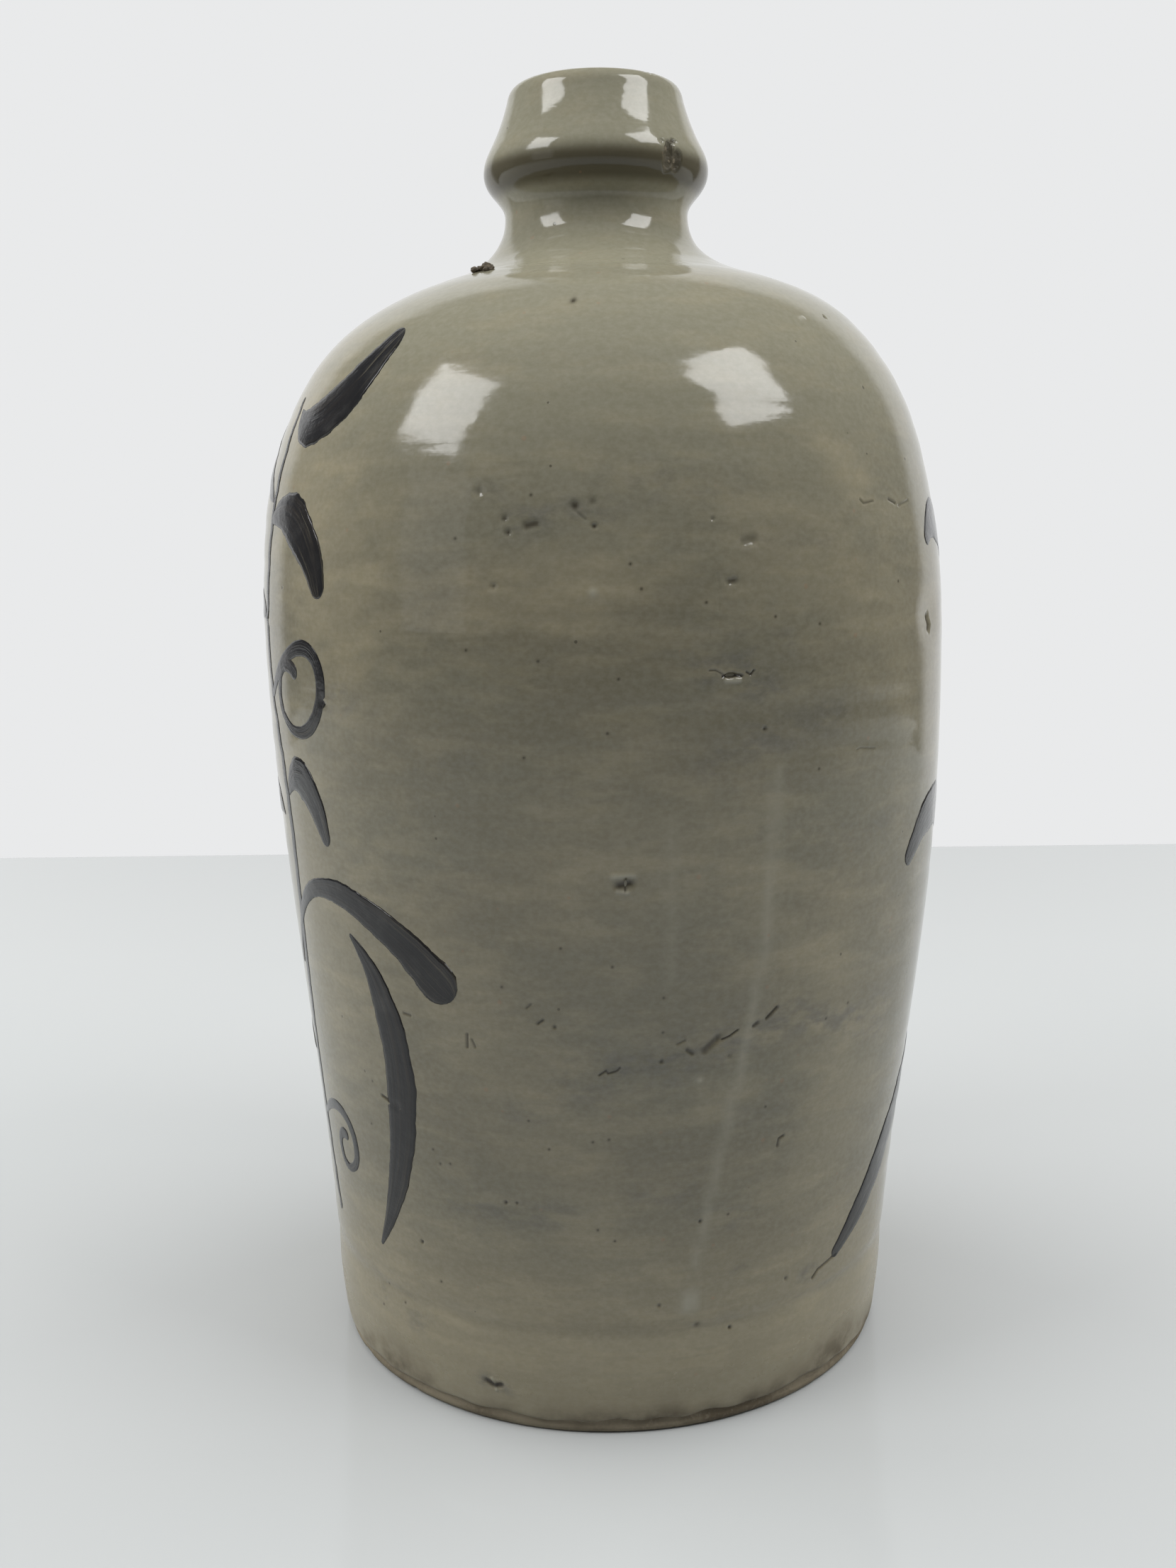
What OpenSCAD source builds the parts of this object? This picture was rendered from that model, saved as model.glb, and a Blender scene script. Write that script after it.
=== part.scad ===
// Stoneware sake flask: a wheel-thrown body luted up from sections, glazed inside
// and out, with a vine painted in iron on each side. Millimetres, +Z up, origin at
// the middle of the foot. The front of the flask faces -Y.

/* [Body] */
// Widest diameter, over the glaze
belly_d = 136.4; // [112:0.1:165]
// Diameter of the foot where the glaze stops
foot_d = 115; // [95:1:138]
// Height of the widest place above the foot
belly_h = 144; // [118:1:175]
// Height of the domed shoulder, from the widest place up to the neck
dome_h = 68; // [56:1:82]
// Diameter where the shoulder meets the neck
shoulder_d = 69.4; // [57:0.1:84]
// Wall thickness of the body, glaze included
wall_t = 7.5; // [5:0.1:9.5]
// Thickness of the floor, glaze included
floor_t = 9; // [7:0.5:12]

/* [Foot] */
// Height of the crease where the wall was luted onto the base
crease_h = 21; // [17:0.5:26]
// Depth of that crease
crease_t = 0.6; // [0.2:0.1:1]
// Height of the bare clay below the glaze
bare_h = 2; // [1.5:0.5:4]
// Rounding of the foot's lower edge
foot_edge = 1; // [0.5:0.1:1.4]
// Depth of the hollow under the foot
recess_t = 1.5; // [1:0.1:3]
// Width of the ring that the flask stands on
ring_w = 9; // [6:0.5:14]

/* [Neck and mouth] */
// Length of the neck, from the shoulder to its narrowest place
neck_l = 14; // [11:0.5:17]
// Diameter of the neck at its narrowest
neck_d = 35.9; // [31:0.1:43]
// Height of the collar's flare, from the narrowest place to the edge
flare_h = 8; // [6:0.5:10]
// Diameter of the collar's edge
collar_d = 44; // [39:0.5:53]
// Height of the collar's face, from the edge to the lip
face_h = 13; // [10:0.5:16]
// Diameter at the outside of the lip
lip_d = 34.4; // [32:0.1:41]
// Height of the lip's rounding
lip_round = 3; // [2:0.1:4]
// Diameter of the mouth, over the glaze
mouth_d = 24; // [19:0.1:28]

/* [Seams] */
// Height of the belt seam between the two body sections, above the widest place
belt_rise = 5; // [2:0.5:10]
// Rise of each seam from the outside of the wall to the inside
seam_rise = 2.5; // [1:0.1:4]

/* [Glaze and brushwork] */
// Thickness of the glaze
glaze_t = 0.5; // [0.3:0.1:0.8]
// Height of the iron strokes above the glaze
ink_t = 0.2; // [0.1:0.05:0.4]
// Bare line between one brush stroke and the next
stroke_gap = 0.8; // [0.4:0.1:1.5]
// Direction of the left vine, in degrees from the front
left_az = -80; // [-95:1:-70]
// Direction of the right vine, in degrees from the front
right_az = 88; // [75:1:95]

/* [Wear] */
// Direction of the chip in the collar, in degrees from the front
chip_az = 38; // [0:1:90]
// Depth of that chip
chip_t = 1.6; // [1:0.1:2.5]
// Size of the largest crumb of kiln grit at the neck
grit_d = 2.2; // [1.5:0.1:3]

/* [Hidden] */
$fn = 96;
clay = "#b9a888";
bare_clay = "#a98f6c";
celadon = "#8b8873";
iron = "#3d3a3c";
// Corners on each curved stretch of the outline, and on each side of a brush stroke
curve_n = 12;
brush_n = 14;
cap_n = 5;
// Reach of the cutting shapes past the part
past = 40;

foot_r = foot_d / 2;
belly_r = belly_d / 2;
shoulder_r = shoulder_d / 2;
neck_r = neck_d / 2;
collar_r = collar_d / 2;
lip_r = lip_d / 2;
mouth_r = mouth_d / 2;
bare_r = foot_r - glaze_t;
// Heights, stacked up from the foot
belt_h = belly_h + belt_rise;
shoulder_h = belly_h + dome_h;
neck_h = shoulder_h + neck_l;
collar_h = neck_h + flare_h;
lip_h = collar_h + face_h;
total_h = lip_h + lip_round;
// The wall leans out a little on its way up the foot
crease_r = foot_r + 0.9;
waist_r = crease_r + crease_t;
waist_h = crease_h + 1.5;
// The roll of the lip is highest nearer its inside
lip_top_r = mix(mouth_r, lip_r, 0.46);
// Round inside corner between the floor and the wall
corner_r = 9;
corner_out_r = waist_r - wall_t;
// Where the shoulder wall's inner face ends, square to the outer face
shoulder_lean = 18.2;
shoulder_in = [shoulder_r - wall_t * sin(shoulder_lean),
               shoulder_h - wall_t * cos(shoulder_lean)];
throat_h = shoulder_h + 0.57 * neck_l;

function mix(a, b, t) = a + (b - a) * t;
function unit(v) = v / norm(v);
function left_of(v) = [-v[1], v[0]];
function bez(p, t) = p[0] * pow(1 - t, 3) + p[1] * 3 * t * pow(1 - t, 2)
                   + p[2] * 3 * t * t * (1 - t) + p[3] * pow(t, 3);
function curve(p, n = curve_n) = [for (i = [1:n]) bez(p, i / n)];
function flip(pts) = [for (i = [len(pts) - 1:-1:0]) pts[i]];
function heading(pts, i) =
    i == 0 ? unit(pts[1] - pts[0])
    : i == len(pts) - 1 ? unit(pts[i] - pts[i - 1])
    : unit(unit(pts[i + 1] - pts[i]) + unit(pts[i] - pts[i - 1]));
// The same line moved to its left by t
function beside(pts, t) =
    [for (i = [0:len(pts) - 1]) pts[i] + t * left_of(heading(pts, i))];
function but_last(pts) = [for (i = [0:len(pts) - 2]) pts[i]];

// Outline of the glazed outside, from the foot up and over the lip
function foot_line() = concat([[foot_r, bare_h]],
    curve([[foot_r, bare_h], [foot_r + 0.9, mix(bare_h, crease_h, 0.4)],
           [crease_r + 0.6, mix(bare_h, crease_h, 0.75)], [crease_r, crease_h]], 6));
function body_line() = concat([[waist_r, waist_h]],
    curve([[waist_r, waist_h], [mix(waist_r, belly_r, 0.232), mix(waist_h, belly_h, 0.304)],
           [belly_r, mix(waist_h, belly_h, 0.582)], [belly_r, belly_h]]),
    curve([[belly_r, belly_h], [belly_r, mix(belly_h, shoulder_h, 0.702)],
           [mix(shoulder_r, belly_r, 0.53), mix(belly_h, shoulder_h, 0.914)],
           [shoulder_r, shoulder_h]], 16));
function neck_line() =
    curve([[shoulder_r, shoulder_h],
           [mix(shoulder_r, neck_r, 0.187), mix(shoulder_h, neck_h, 0.101)],
           [neck_r, mix(shoulder_h, neck_h, 0.259)], [neck_r, neck_h]]);
function collar_line() = concat(
    curve([[neck_r, neck_h], [neck_r, mix(neck_h, collar_h, 0.381)],
           [collar_r, mix(neck_h, collar_h, 0.542)], [collar_r, collar_h]], 8),
    curve([[collar_r, collar_h], [collar_r, mix(collar_h, lip_h, 0.287)],
           [mix(collar_r, lip_r, 0.46), mix(collar_h, lip_h, 0.315)], [lip_r, lip_h]], 8),
    curve([[lip_r, lip_h], [lip_r - 0.3, mix(lip_h, total_h, 0.75)],
           [mix(lip_r, lip_top_r, 0.5), total_h], [lip_top_r, total_h]], 6),
    curve([[lip_top_r, total_h], [mix(lip_top_r, mouth_r, 0.6), total_h],
           [mouth_r, mix(lip_h, total_h, 0.7)], [mouth_r, lip_h]], 5));
function outside() = concat(foot_line(), body_line(), neck_line(), collar_line());

// Outline of the glazed inside, from the middle of the floor up to the lip
function inside() = concat([[0, floor_t], [corner_out_r - corner_r, floor_t]],
    [for (a = [15:15:90])
        [corner_out_r - corner_r * (1 - sin(a)), floor_t + corner_r * (1 - cos(a))]],
    curve([[corner_out_r, floor_t + corner_r],
           [mix(waist_r, belly_r, 0.232) - wall_t, mix(waist_h, belly_h, 0.304)],
           [belly_r - wall_t, mix(waist_h, belly_h, 0.582)], [belly_r - wall_t, belly_h]], 10),
    curve([[belly_r - wall_t, belly_h],
           [belly_r - wall_t, mix(belly_h, shoulder_in[1], 0.702)],
           [mix(shoulder_in[0], belly_r - wall_t, 0.53), mix(belly_h, shoulder_in[1], 0.914)],
           shoulder_in], 12),
    curve([shoulder_in, mix(shoulder_in, [mouth_r, throat_h], 0.5) - [0, 3.5],
           [mouth_r, mix(shoulder_in[1], throat_h, 0.35)], [mouth_r, throat_h]], 8),
    [[mouth_r, lip_h]]);

// Section of all the clay, from the axis out
module clay_section() {
    ring_r = bare_r - ring_w;
    polygon(concat(
        [[0, recess_t], [ring_r - recess_t, recess_t], [ring_r, 0],
         [bare_r - foot_edge, 0], [bare_r, foot_edge]],
        but_last(beside(outside(), glaze_t)), flip(beside(inside(), -glaze_t))));
}

// Half plane above a seam that meets the outside at radius r and height h
module above_seam(r, h) {
    slope = seam_rise / wall_t;
    polygon([[0, h + slope * r], [r + past, h - slope * past], [r + past, total_h + past],
             [0, total_h + past]]);
}
module above_crease() above_seam(crease_r, crease_h);
module above_belt() above_seam(belly_r, belt_h);

// Everything inside the cone where the neck is set into the shoulder
module inside_neck_seat() {
    down = -[sin(shoulder_lean), cos(shoulder_lean)];
    foot = [shoulder_r, shoulder_h] + 1.5 * wall_t * down;
    top = [shoulder_r, shoulder_h] - past * down;
    polygon([[0, foot[1]], foot, top, [0, top[1]]]);
}
module above_neck() above_seam(neck_r, neck_h + 1);

module base_disc() color(bare_clay) rotate_extrude() difference() {
    clay_section();
    above_crease();
}

module lower_body() color(clay) rotate_extrude() difference() {
    intersection() {
        clay_section();
        above_crease();
    }
    above_belt();
}

module upper_body() color(clay) rotate_extrude() difference() {
    intersection() {
        clay_section();
        above_belt();
    }
    inside_neck_seat();
}

module neck() color(clay) rotate_extrude() difference() {
    intersection() {
        clay_section();
        inside_neck_seat();
    }
    above_neck();
}

module mouth_collar() color(clay) difference() {
    rotate_extrude() intersection() {
        clay_section();
        inside_neck_seat();
        above_neck();
    }
    chips();
}

// Chips knocked out of the collar's edge and the lip
module chips() {
    chip_w = 6.5;
    rotate(chip_az) translate([0, chip_t / 2 - collar_r - 0.4, collar_h + 0.5])
        rotate([14, 24, 10]) cube([chip_w, 3 * chip_t / 2, 8], center = true);
    rotate(chip_az + 3) translate([0, -lip_r, total_h - 1])
        rotate([35, 0, 8]) cube([4, 2, 1.6], center = true);
}

module outer_glaze() color(celadon) difference() {
    rotate_extrude() polygon(concat(outside(), [[mouth_r + glaze_t, lip_h]],
        flip(but_last(beside(outside(), glaze_t)))));
    chips();
}

module inner_glaze() color(celadon)
    rotate_extrude() polygon(concat(inside(), flip(beside(inside(), -glaze_t))));

// Crumbs of grit that fell from the kiln roof and stuck where the neck begins.
// Each is [degrees from the front, how far out from the neck's foot, share of grit_d]
grit = [[-45, 0, 1], [-41, 1.6, 0.7], [-49, 0.8, 0.6], [-54, -2.4, 0.45]];
function glaze_h(r) = lookup(-r, [for (p = neck_line()) [-p[0], p[1]]]);
module kiln_grit() color("#6b5f48") for (g = grit) {
    d = grit_d * g[2];
    r = mix(shoulder_r, neck_r, 0.25) + g[1];
    rotate(g[0]) translate([0, -r, glaze_h(r) + 0.42 * d])
        rotate([20 * g[1], 35, 5 * g[0]]) cube([d, 0.8 * d, 0.9 * d], center = true);
}

// Brush strokes are drawn on a flat sheet that is then rolled round the body and
// stretched to its height: the first number is the distance round a body of radius
// sheet_r, from the middle of the vine, and the second the height on a body sheet_h
// tall. A stroke is four curve points and its half width at the start, middle and end.
sheet_r = 68.2;
sheet_h = 212;
function half_width(w, t) = w[0] * pow(1 - t, 2) + w[1] * 2 * t * (1 - t) + w[2] * t * t;
function stroke_side(p, w, side) =
    let (line = concat([p[0]], curve(p, brush_n)))
    [for (i = [0:brush_n])
        line[i] + side * half_width(w, i / brush_n) * left_of(heading(line, i))];
function cap(c, dir, w) = [for (i = [1:cap_n - 1]) let (a = 180 * i / cap_n)
    c + w * (left_of(dir) * cos(a) + dir * sin(a))];
function stroke(p, w) = concat(
    stroke_side(p, w, 1), cap(p[3], unit(p[3] - p[2]), w[2]),
    flip(stroke_side(p, w, -1)), cap(p[0], unit(p[0] - p[1]), w[0]));
// Rolls a flat drawing round the flask, as it is seen from straight in front
radius_at = [for (p = body_line()) [p[1], p[0]]];
function rolled(pts) = [for (q = pts) let (h = q[1] / sheet_h * shoulder_h)
    [lookup(h, radius_at) * sin(q[0] / sheet_r * 180 / PI), h]];
module strokes(list, extra = 0)
    for (s = list) polygon(rolled(stroke(s[0], s[1] + extra * [1, 1, 1])));

// Lays a flat drawing on the glaze, facing az degrees from the front
module painted(az) color(iron) rotate(az) intersection() {
    rotate_extrude() polygon(concat(beside(body_line(), -ink_t), flip(body_line())));
    rotate([90, 0, 0]) linear_extrude(belly_r + past) children();
}

left_stem = [
    [[[14, 30], [2, 68], [26, 98], [14, 132]], [1.3, 1.8, 1.3]],
    [[[14, 132], [7, 152], [20, 172], [16, 190]], [1.3, 1.5, 0.8]],
    [[[10, 82], [20, 106], [42, 106], [62, 88]], [1.1, 1.6, 4.4]]];
left_leaves = [
    [[[19, 188], [26, 182], [38, 186], [46, 198]], [0.5, 8, 3.2]],
    [[[14, 172], [4, 176], [-4, 184], [-8, 194]], [0.5, 6, 2.2]],
    [[[15, 168], [24, 172], [34, 168], [38, 157]], [0.5, 8, 2.6]],
    [[[11, 150], [0, 156], [-12, 150], [-20, 136]], [0.5, 8, 0.4]],
    [[[19, 117], [24, 124], [31, 122], [35, 111]], [0.5, 7, 1.8]],
    [[[12, 112], [2, 118], [-12, 112], [-22, 96]], [0.5, 9, 0.4]],
    [[[40, 93], [54, 82], [54, 52], [38, 30]], [0.5, 8, 0.5]],
    [[[7, 62], [-4, 68], [-18, 60], [-24, 42]], [0.5, 9, 0.4]]];
left_tendrils = [
    [[[14, 136], [44, 162], [44, 126], [25, 130]], [1.1, 2.2, 1.1]],
    [[[25, 130], [15, 133], [20, 146], [28, 141]], [1.1, 1.2, 1.6]],
    [[[12, 50], [30, 62], [36, 44], [26, 42]], [0.9, 1.8, 0.9]],
    [[[26, 42], [20, 42], [21, 50], [26, 49]], [0.9, 1, 1.3]]];
right_stem = [
    [[[-4, 28], [8, 64], [-10, 98], [2, 134]], [1.3, 1.8, 1.3]],
    [[[1, 130], [12, 150], [-6, 174], [4, 194]], [1.1, 1.6, 0.8]]];
right_leaves = [
    [[[4, 152], [-6, 162], [-18, 172], [-28, 164]], [0.5, 8, 2.0]],
    [[[-2, 100], [-12, 114], [-26, 116], [-37, 105]], [0.5, 8, 2.0]],
    [[[1, 66], [-14, 62], [-28, 42], [-49, 28]], [0.5, 9, 1.4]],
    [[[2, 126], [16, 136], [28, 130], [36, 112]], [0.5, 9, 0.4]],
    [[[0, 76], [14, 88], [32, 80], [40, 58]], [0.5, 9, 0.4]],
    [[[3, 176], [10, 186], [22, 188], [34, 176]], [0.5, 8, 0.4]]];
right_tendrils = [
    [[[0, 50], [24, 62], [32, 34], [14, 34]], [1, 2, 1]],
    [[[14, 34], [4, 36], [8, 48], [16, 44]], [1, 1.1, 1.5]]];

module left_vine_stem() painted(left_az) strokes(left_stem);
module left_vine_leaves() painted(left_az) difference() {
    strokes(left_leaves);
    strokes(left_stem, stroke_gap);
}
module left_vine_tendrils() painted(left_az) difference() {
    strokes(left_tendrils);
    strokes(left_stem, stroke_gap);
    strokes(left_leaves, stroke_gap);
}
module right_vine_stem() painted(right_az) strokes(right_stem);
module right_vine_leaves() painted(right_az) difference() {
    strokes(right_leaves);
    strokes(right_stem, stroke_gap);
}
module right_vine_tendrils() painted(right_az) difference() {
    strokes(right_tendrils);
    strokes(right_stem, stroke_gap);
    strokes(right_leaves, stroke_gap);
}

base_disc();
lower_body();
upper_body();
neck();
mouth_collar();
outer_glaze();
inner_glaze();
kiln_grit();
left_vine_stem();
left_vine_leaves();
left_vine_tendrils();
right_vine_stem();
right_vine_leaves();
right_vine_tendrils();
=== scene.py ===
"""Looks of a stoneware sake flask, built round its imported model.

A thrown body under a grey-olive ash glaze, with a vine brushed in iron on each side.
Metres, +Z up, the origin under the middle of the foot, the front of the flask towards -Y.
"""

import math

import bmesh
import bpy
import numpy as np
from bpy.props import FloatProperty, FloatVectorProperty, PointerProperty
from bpy.types import Operator, Panel, PropertyGroup
from mathutils import Matrix, Vector


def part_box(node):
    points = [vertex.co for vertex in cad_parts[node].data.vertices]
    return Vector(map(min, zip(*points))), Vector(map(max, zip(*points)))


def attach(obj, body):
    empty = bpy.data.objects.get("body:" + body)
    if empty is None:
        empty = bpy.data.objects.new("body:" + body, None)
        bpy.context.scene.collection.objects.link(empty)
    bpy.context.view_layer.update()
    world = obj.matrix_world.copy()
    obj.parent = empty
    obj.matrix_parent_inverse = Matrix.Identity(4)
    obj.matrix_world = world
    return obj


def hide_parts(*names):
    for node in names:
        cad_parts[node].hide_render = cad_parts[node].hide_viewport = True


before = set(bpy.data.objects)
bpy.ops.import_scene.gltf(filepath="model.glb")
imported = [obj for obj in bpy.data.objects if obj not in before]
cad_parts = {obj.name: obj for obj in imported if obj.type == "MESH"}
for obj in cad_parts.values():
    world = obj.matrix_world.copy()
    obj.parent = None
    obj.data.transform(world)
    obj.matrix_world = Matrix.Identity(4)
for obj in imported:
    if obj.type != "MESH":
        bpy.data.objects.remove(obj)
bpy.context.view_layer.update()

bl_info = {
    "name": "Stoneware Sake Flask",
    "version": (1, 0, 0),
    "blender": (4, 5, 0),
    "location": "3D View > Sidebar > Flask",
    "description": "Builds a glazed stoneware flask with brushed vines round its packed model",
    "category": "Object",
}

MM = 0.001


def top(node):
    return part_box(node)[1].z


def bottom(node):
    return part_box(node)[0].z


# ---------------------------------------------------------------- sizes and colours


def length(name, value, description):
    return FloatProperty(
        name=name, description=description, default=value, min=0.0, unit="LENGTH",
        subtype="DISTANCE", precision=5,
    )


def colour(name, value, description):
    return FloatVectorProperty(
        name=name, description=description, default=value, size=3, min=0.0, max=1.0,
        subtype="COLOR",
    )


def share(name, value, description, most=1.0):
    return FloatProperty(
        name=name, description=description, default=value, min=0.0, max=most,
        subtype="FACTOR",
    )


def angle(name, value, description):
    return FloatProperty(
        name=name, description=description, default=math.radians(value), subtype="ANGLE",
        unit="ROTATION",
    )


class FlaskSizes(PropertyGroup):
    """Sizes of the thrown form. Heights are above the foot."""

    belly_d: length("Belly", 2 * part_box("outer_glaze")[1].x, "Widest diameter, over the glaze")
    foot_d: length("Foot", 0.115, "Diameter of the foot where the glaze stops")
    shoulder_d: length("Shoulder", 0.0694, "Diameter where the shoulder meets the neck")
    neck_d: length("Neck", 0.0359, "Diameter of the neck at its narrowest")
    collar_d: length("Collar", 0.044, "Diameter of the collar's edge")
    lip_d: length("Lip", 0.0344, "Diameter at the outside of the lip")
    mouth_d: length("Mouth", 0.024, "Diameter of the mouth, over the glaze")
    bare_h: length("Bare height", bottom("outer_glaze"), "Height of the bare clay at the foot")
    crease_h: length("Crease height", 0.021, "Height of the crease above the foot")
    crease_t: length("Crease depth", 0.0006, "Depth of the crease above the foot")
    belly_h: length("Belly height", 0.144, "Height of the widest place")
    shoulder_h: length("Shoulder height", 0.212, "Height where the shoulder meets the neck")
    neck_h: length("Neck height", 0.226, "Height of the neck's narrowest place")
    collar_h: length("Collar height", 0.234, "Height of the collar's edge")
    lip_h: length("Lip height", top("inner_glaze"), "Height where the lip begins to roll in")
    total_h: length("Total height", top("outer_glaze"), "Height of the whole flask")
    wall_t: length("Wall", 0.0075, "Thickness of the body wall")
    floor_h: length("Floor height", bottom("inner_glaze") + 0.0005, "Top of the floor inside")
    glaze_t: length("Glaze", 0.0005, "Thickness of the glaze")
    ink_t: length("Brushwork", 0.0002, "Height of the iron strokes above the glaze")
    recess_t: length("Foot recess", 0.0015, "Depth of the hollow under the foot")
    ring_w: length("Foot ring", 0.009, "Width of the ring that the flask stands on")
    finger_t: length("Finger rings", 0.00005, "Depth of the rings left by throwing")
    finger_pitch: length("Finger pitch", 0.0072, "Rise of the finger rings in one turn")
    uneven_t: length("Unevenness", 0.00012, "Slow rise and fall of the thrown wall")
    belt_t: length("Belt seam", 0.00022, "Height of the ridge where the body was joined")
    oval: share("Ovalness", 0.004, "Out-of-roundness of the body", 0.05)


class GlazeColours(PropertyGroup):
    """Colours of the glaze, the iron brushwork and the clay."""

    olive: colour("Olive", (0.152, 0.139, 0.096), "Main colour of the glaze")
    # Near the foot this tan also stands in for painted light bounced up from the table
    tan: colour("Tan", (0.272, 0.240, 0.158), "Glaze where it is thin and warm")
    sage: colour("Sage", (0.158, 0.152, 0.110), "Glaze where it is thick and green")
    # Partly thinner glaze, partly painted light that brightens the shoulder and the neck
    thin_and_lit_crown: colour("Thin And Lit Crown", (0.222, 0.212, 0.152), "Thin glaze on the shoulder and the neck")
    # Partly thicker glaze, partly painted shade under the collar's overhang; it also darkens the
    # bare clay in the chips as painted shade
    glaze_and_painted_shade: colour("Under the collar", (0.062, 0.053, 0.031), "Thick glaze under the collar")
    smoke: colour("Smoke", (0.092, 0.091, 0.083), "Blue-grey smudges in the glaze")
    milk: colour("Milk", (0.30, 0.288, 0.228), "Pale runs and flecks")
    speck: colour("Specks", (0.032, 0.025, 0.016), "Iron specks and pinholes")
    stain: colour("Stain", (0.105, 0.083, 0.050), "Brown stain above the foot")
    iron: colour("Iron", (0.0085, 0.0085, 0.0095), "Brushed iron where it is thick")
    iron_thin: colour("Thin iron", (0.026, 0.021, 0.016), "Brushed iron where it is thin")
    clay: colour("Clay", (0.250, 0.215, 0.150), "Fired clay")
    burnt: colour("Burnt clay", (0.110, 0.087, 0.055), "Clay darkened by the kiln and by use")
    grit: colour("Grit", (0.060, 0.046, 0.030), "Crumbs of kiln grit")


class StageSizes(PropertyGroup):
    """The camera, the table and the lights."""

    camera_h: length("Camera height", 0.168, "Height of the camera above the table")
    camera_far: length("Camera distance", 0.3152, "Distance of the camera from the axis")
    camera_down: angle("Camera tilt", 9.93, "How far the camera looks down")
    camera_left: angle("Camera turn", 0.589, "How far the camera is turned to its left")
    camera_roll: angle("Camera roll", -0.816, "Roll of the camera about its own axis")
    lens: FloatProperty(name="Lens", description="Focal length", default=34.97, unit="CAMERA")
    table_far: length("Table edge", 0.45, "Distance of the table's far edge behind the flask")
    table: colour("Table", (0.445, 0.457, 0.456), "Colour of the table top")
    air: colour("Surroundings", (0.815, 0.822, 0.828), "Light from the pale surroundings")
    gloom: share("Gloom", 0.16, "How much light comes from the sides without a pale screen")
    lamp: FloatProperty(name="Lamps", description="Brightness of each soft lamp", default=7.0)


# ---------------------------------------------------------------- the thrown form


def bend(p0, p1, p2, p3, count=60):
    """Points along a smooth bend from p0 to p3."""
    t = np.linspace(0, 1, count)[:, None]
    p0, p1, p2, p3 = (np.asarray(p, float) for p in (p0, p1, p2, p3))
    return (1 - t) ** 3 * p0 + 3 * t * (1 - t) ** 2 * p1 + 3 * t * t * (1 - t) * p2 + t**3 * p3


def mix(a, b, t):
    return a + (b - a) * t


def bump(x, width):
    """A smooth rise to 1 round x = 0."""
    return np.exp(-((x / width) ** 2))


def ramp(x, low, high):
    """0 below low, 1 above high, and smooth between."""
    t = np.clip((x - low) / (high - low), 0, 1)
    return t * t * (3 - 2 * t)


def around(az, r, z):
    """Places at a turn from the front, a radius and a height."""
    return np.stack([r * np.sin(az), -r * np.cos(az), z], 1)


def whole_turn(count):
    """Evenly spaced turns once round the axis, from the back."""
    return np.linspace(0, 2 * math.pi, count, endpoint=False) - math.pi


def drift(points, size, seed, waves=14):
    """Smooth random rise and fall, about -1 to 1, that repeats over roughly size."""
    rng = np.random.default_rng(seed)
    ways = rng.normal(size=(waves, 3))
    ways /= np.linalg.norm(ways, axis=1)[:, None]
    ways *= (2 * math.pi / size * rng.uniform(0.6, 1.5, waves))[:, None]
    phase = rng.uniform(0, 2 * math.pi, waves)
    return np.sin(points @ ways.T + phase).sum(1) / math.sqrt(waves)


# Shares that place the handles of the body's bends. Another program fitted these, and the
# shares in the neck's and the collar's bends below, to an outline read from the photo.
RISE_OUT, RISE_LOW, RISE_HIGH = 0.232, 0.304, 0.582
DOME_LOW, DOME_IN, DOME_HIGH = 0.702, 0.53, 0.914
# Radius at which the glaze's wavering lower edge is drawn
FOOT_LINE_R = 0.0575


class Outline:
    """A turned line: radius, height and outward direction by the distance along it."""

    def __init__(self, points, soft, step=0.1 * MM):
        points = np.concatenate([np.atleast_2d(p) for p in points])
        gaps = np.hypot(*np.diff(points, axis=0).T)
        points = points[np.concatenate([[True], gaps > 1e-9])]
        along = np.concatenate([[0], np.cumsum(np.hypot(*np.diff(points, axis=0).T))])
        self.length = along[-1]
        self.u = np.linspace(0, self.length, int(self.length / step) + 1)
        line = np.stack([np.interp(self.u, along, points[:, i]) for i in (0, 1)], 1)
        reach = int(3 * soft / step)
        weights = np.exp(-0.5 * (np.arange(-reach, reach + 1) * step / soft) ** 2)
        before = 2 * line[0] - line[reach:0:-1]
        after = 2 * line[-1] - line[-2 : -reach - 2 : -1]
        padded = np.concatenate([before, line, after])
        line = np.stack(
            [np.convolve(padded[:, i], weights / weights.sum(), "valid") for i in (0, 1)], 1
        )
        self.r, self.z = line[:, 0], line[:, 1]
        run = np.gradient(line, axis=0)
        run /= np.linalg.norm(run, axis=1)[:, None]
        self.nr, self.nz = run[:, 1], -run[:, 0]
        self.peak = int(np.argmax(self.z))

    def at_height(self, z):
        rise = slice(0, self.peak + 1)
        return np.interp(z, self.z[rise], self.u[rise])

    def point(self, u, sink=0.0):
        """Radius and height at a distance along the line, sunk by some depth."""
        r, z, nr, nz = (np.interp(u, self.u, v) for v in (self.r, self.z, self.nr, self.nz))
        return r - sink * nr, z - sink * nz


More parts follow.
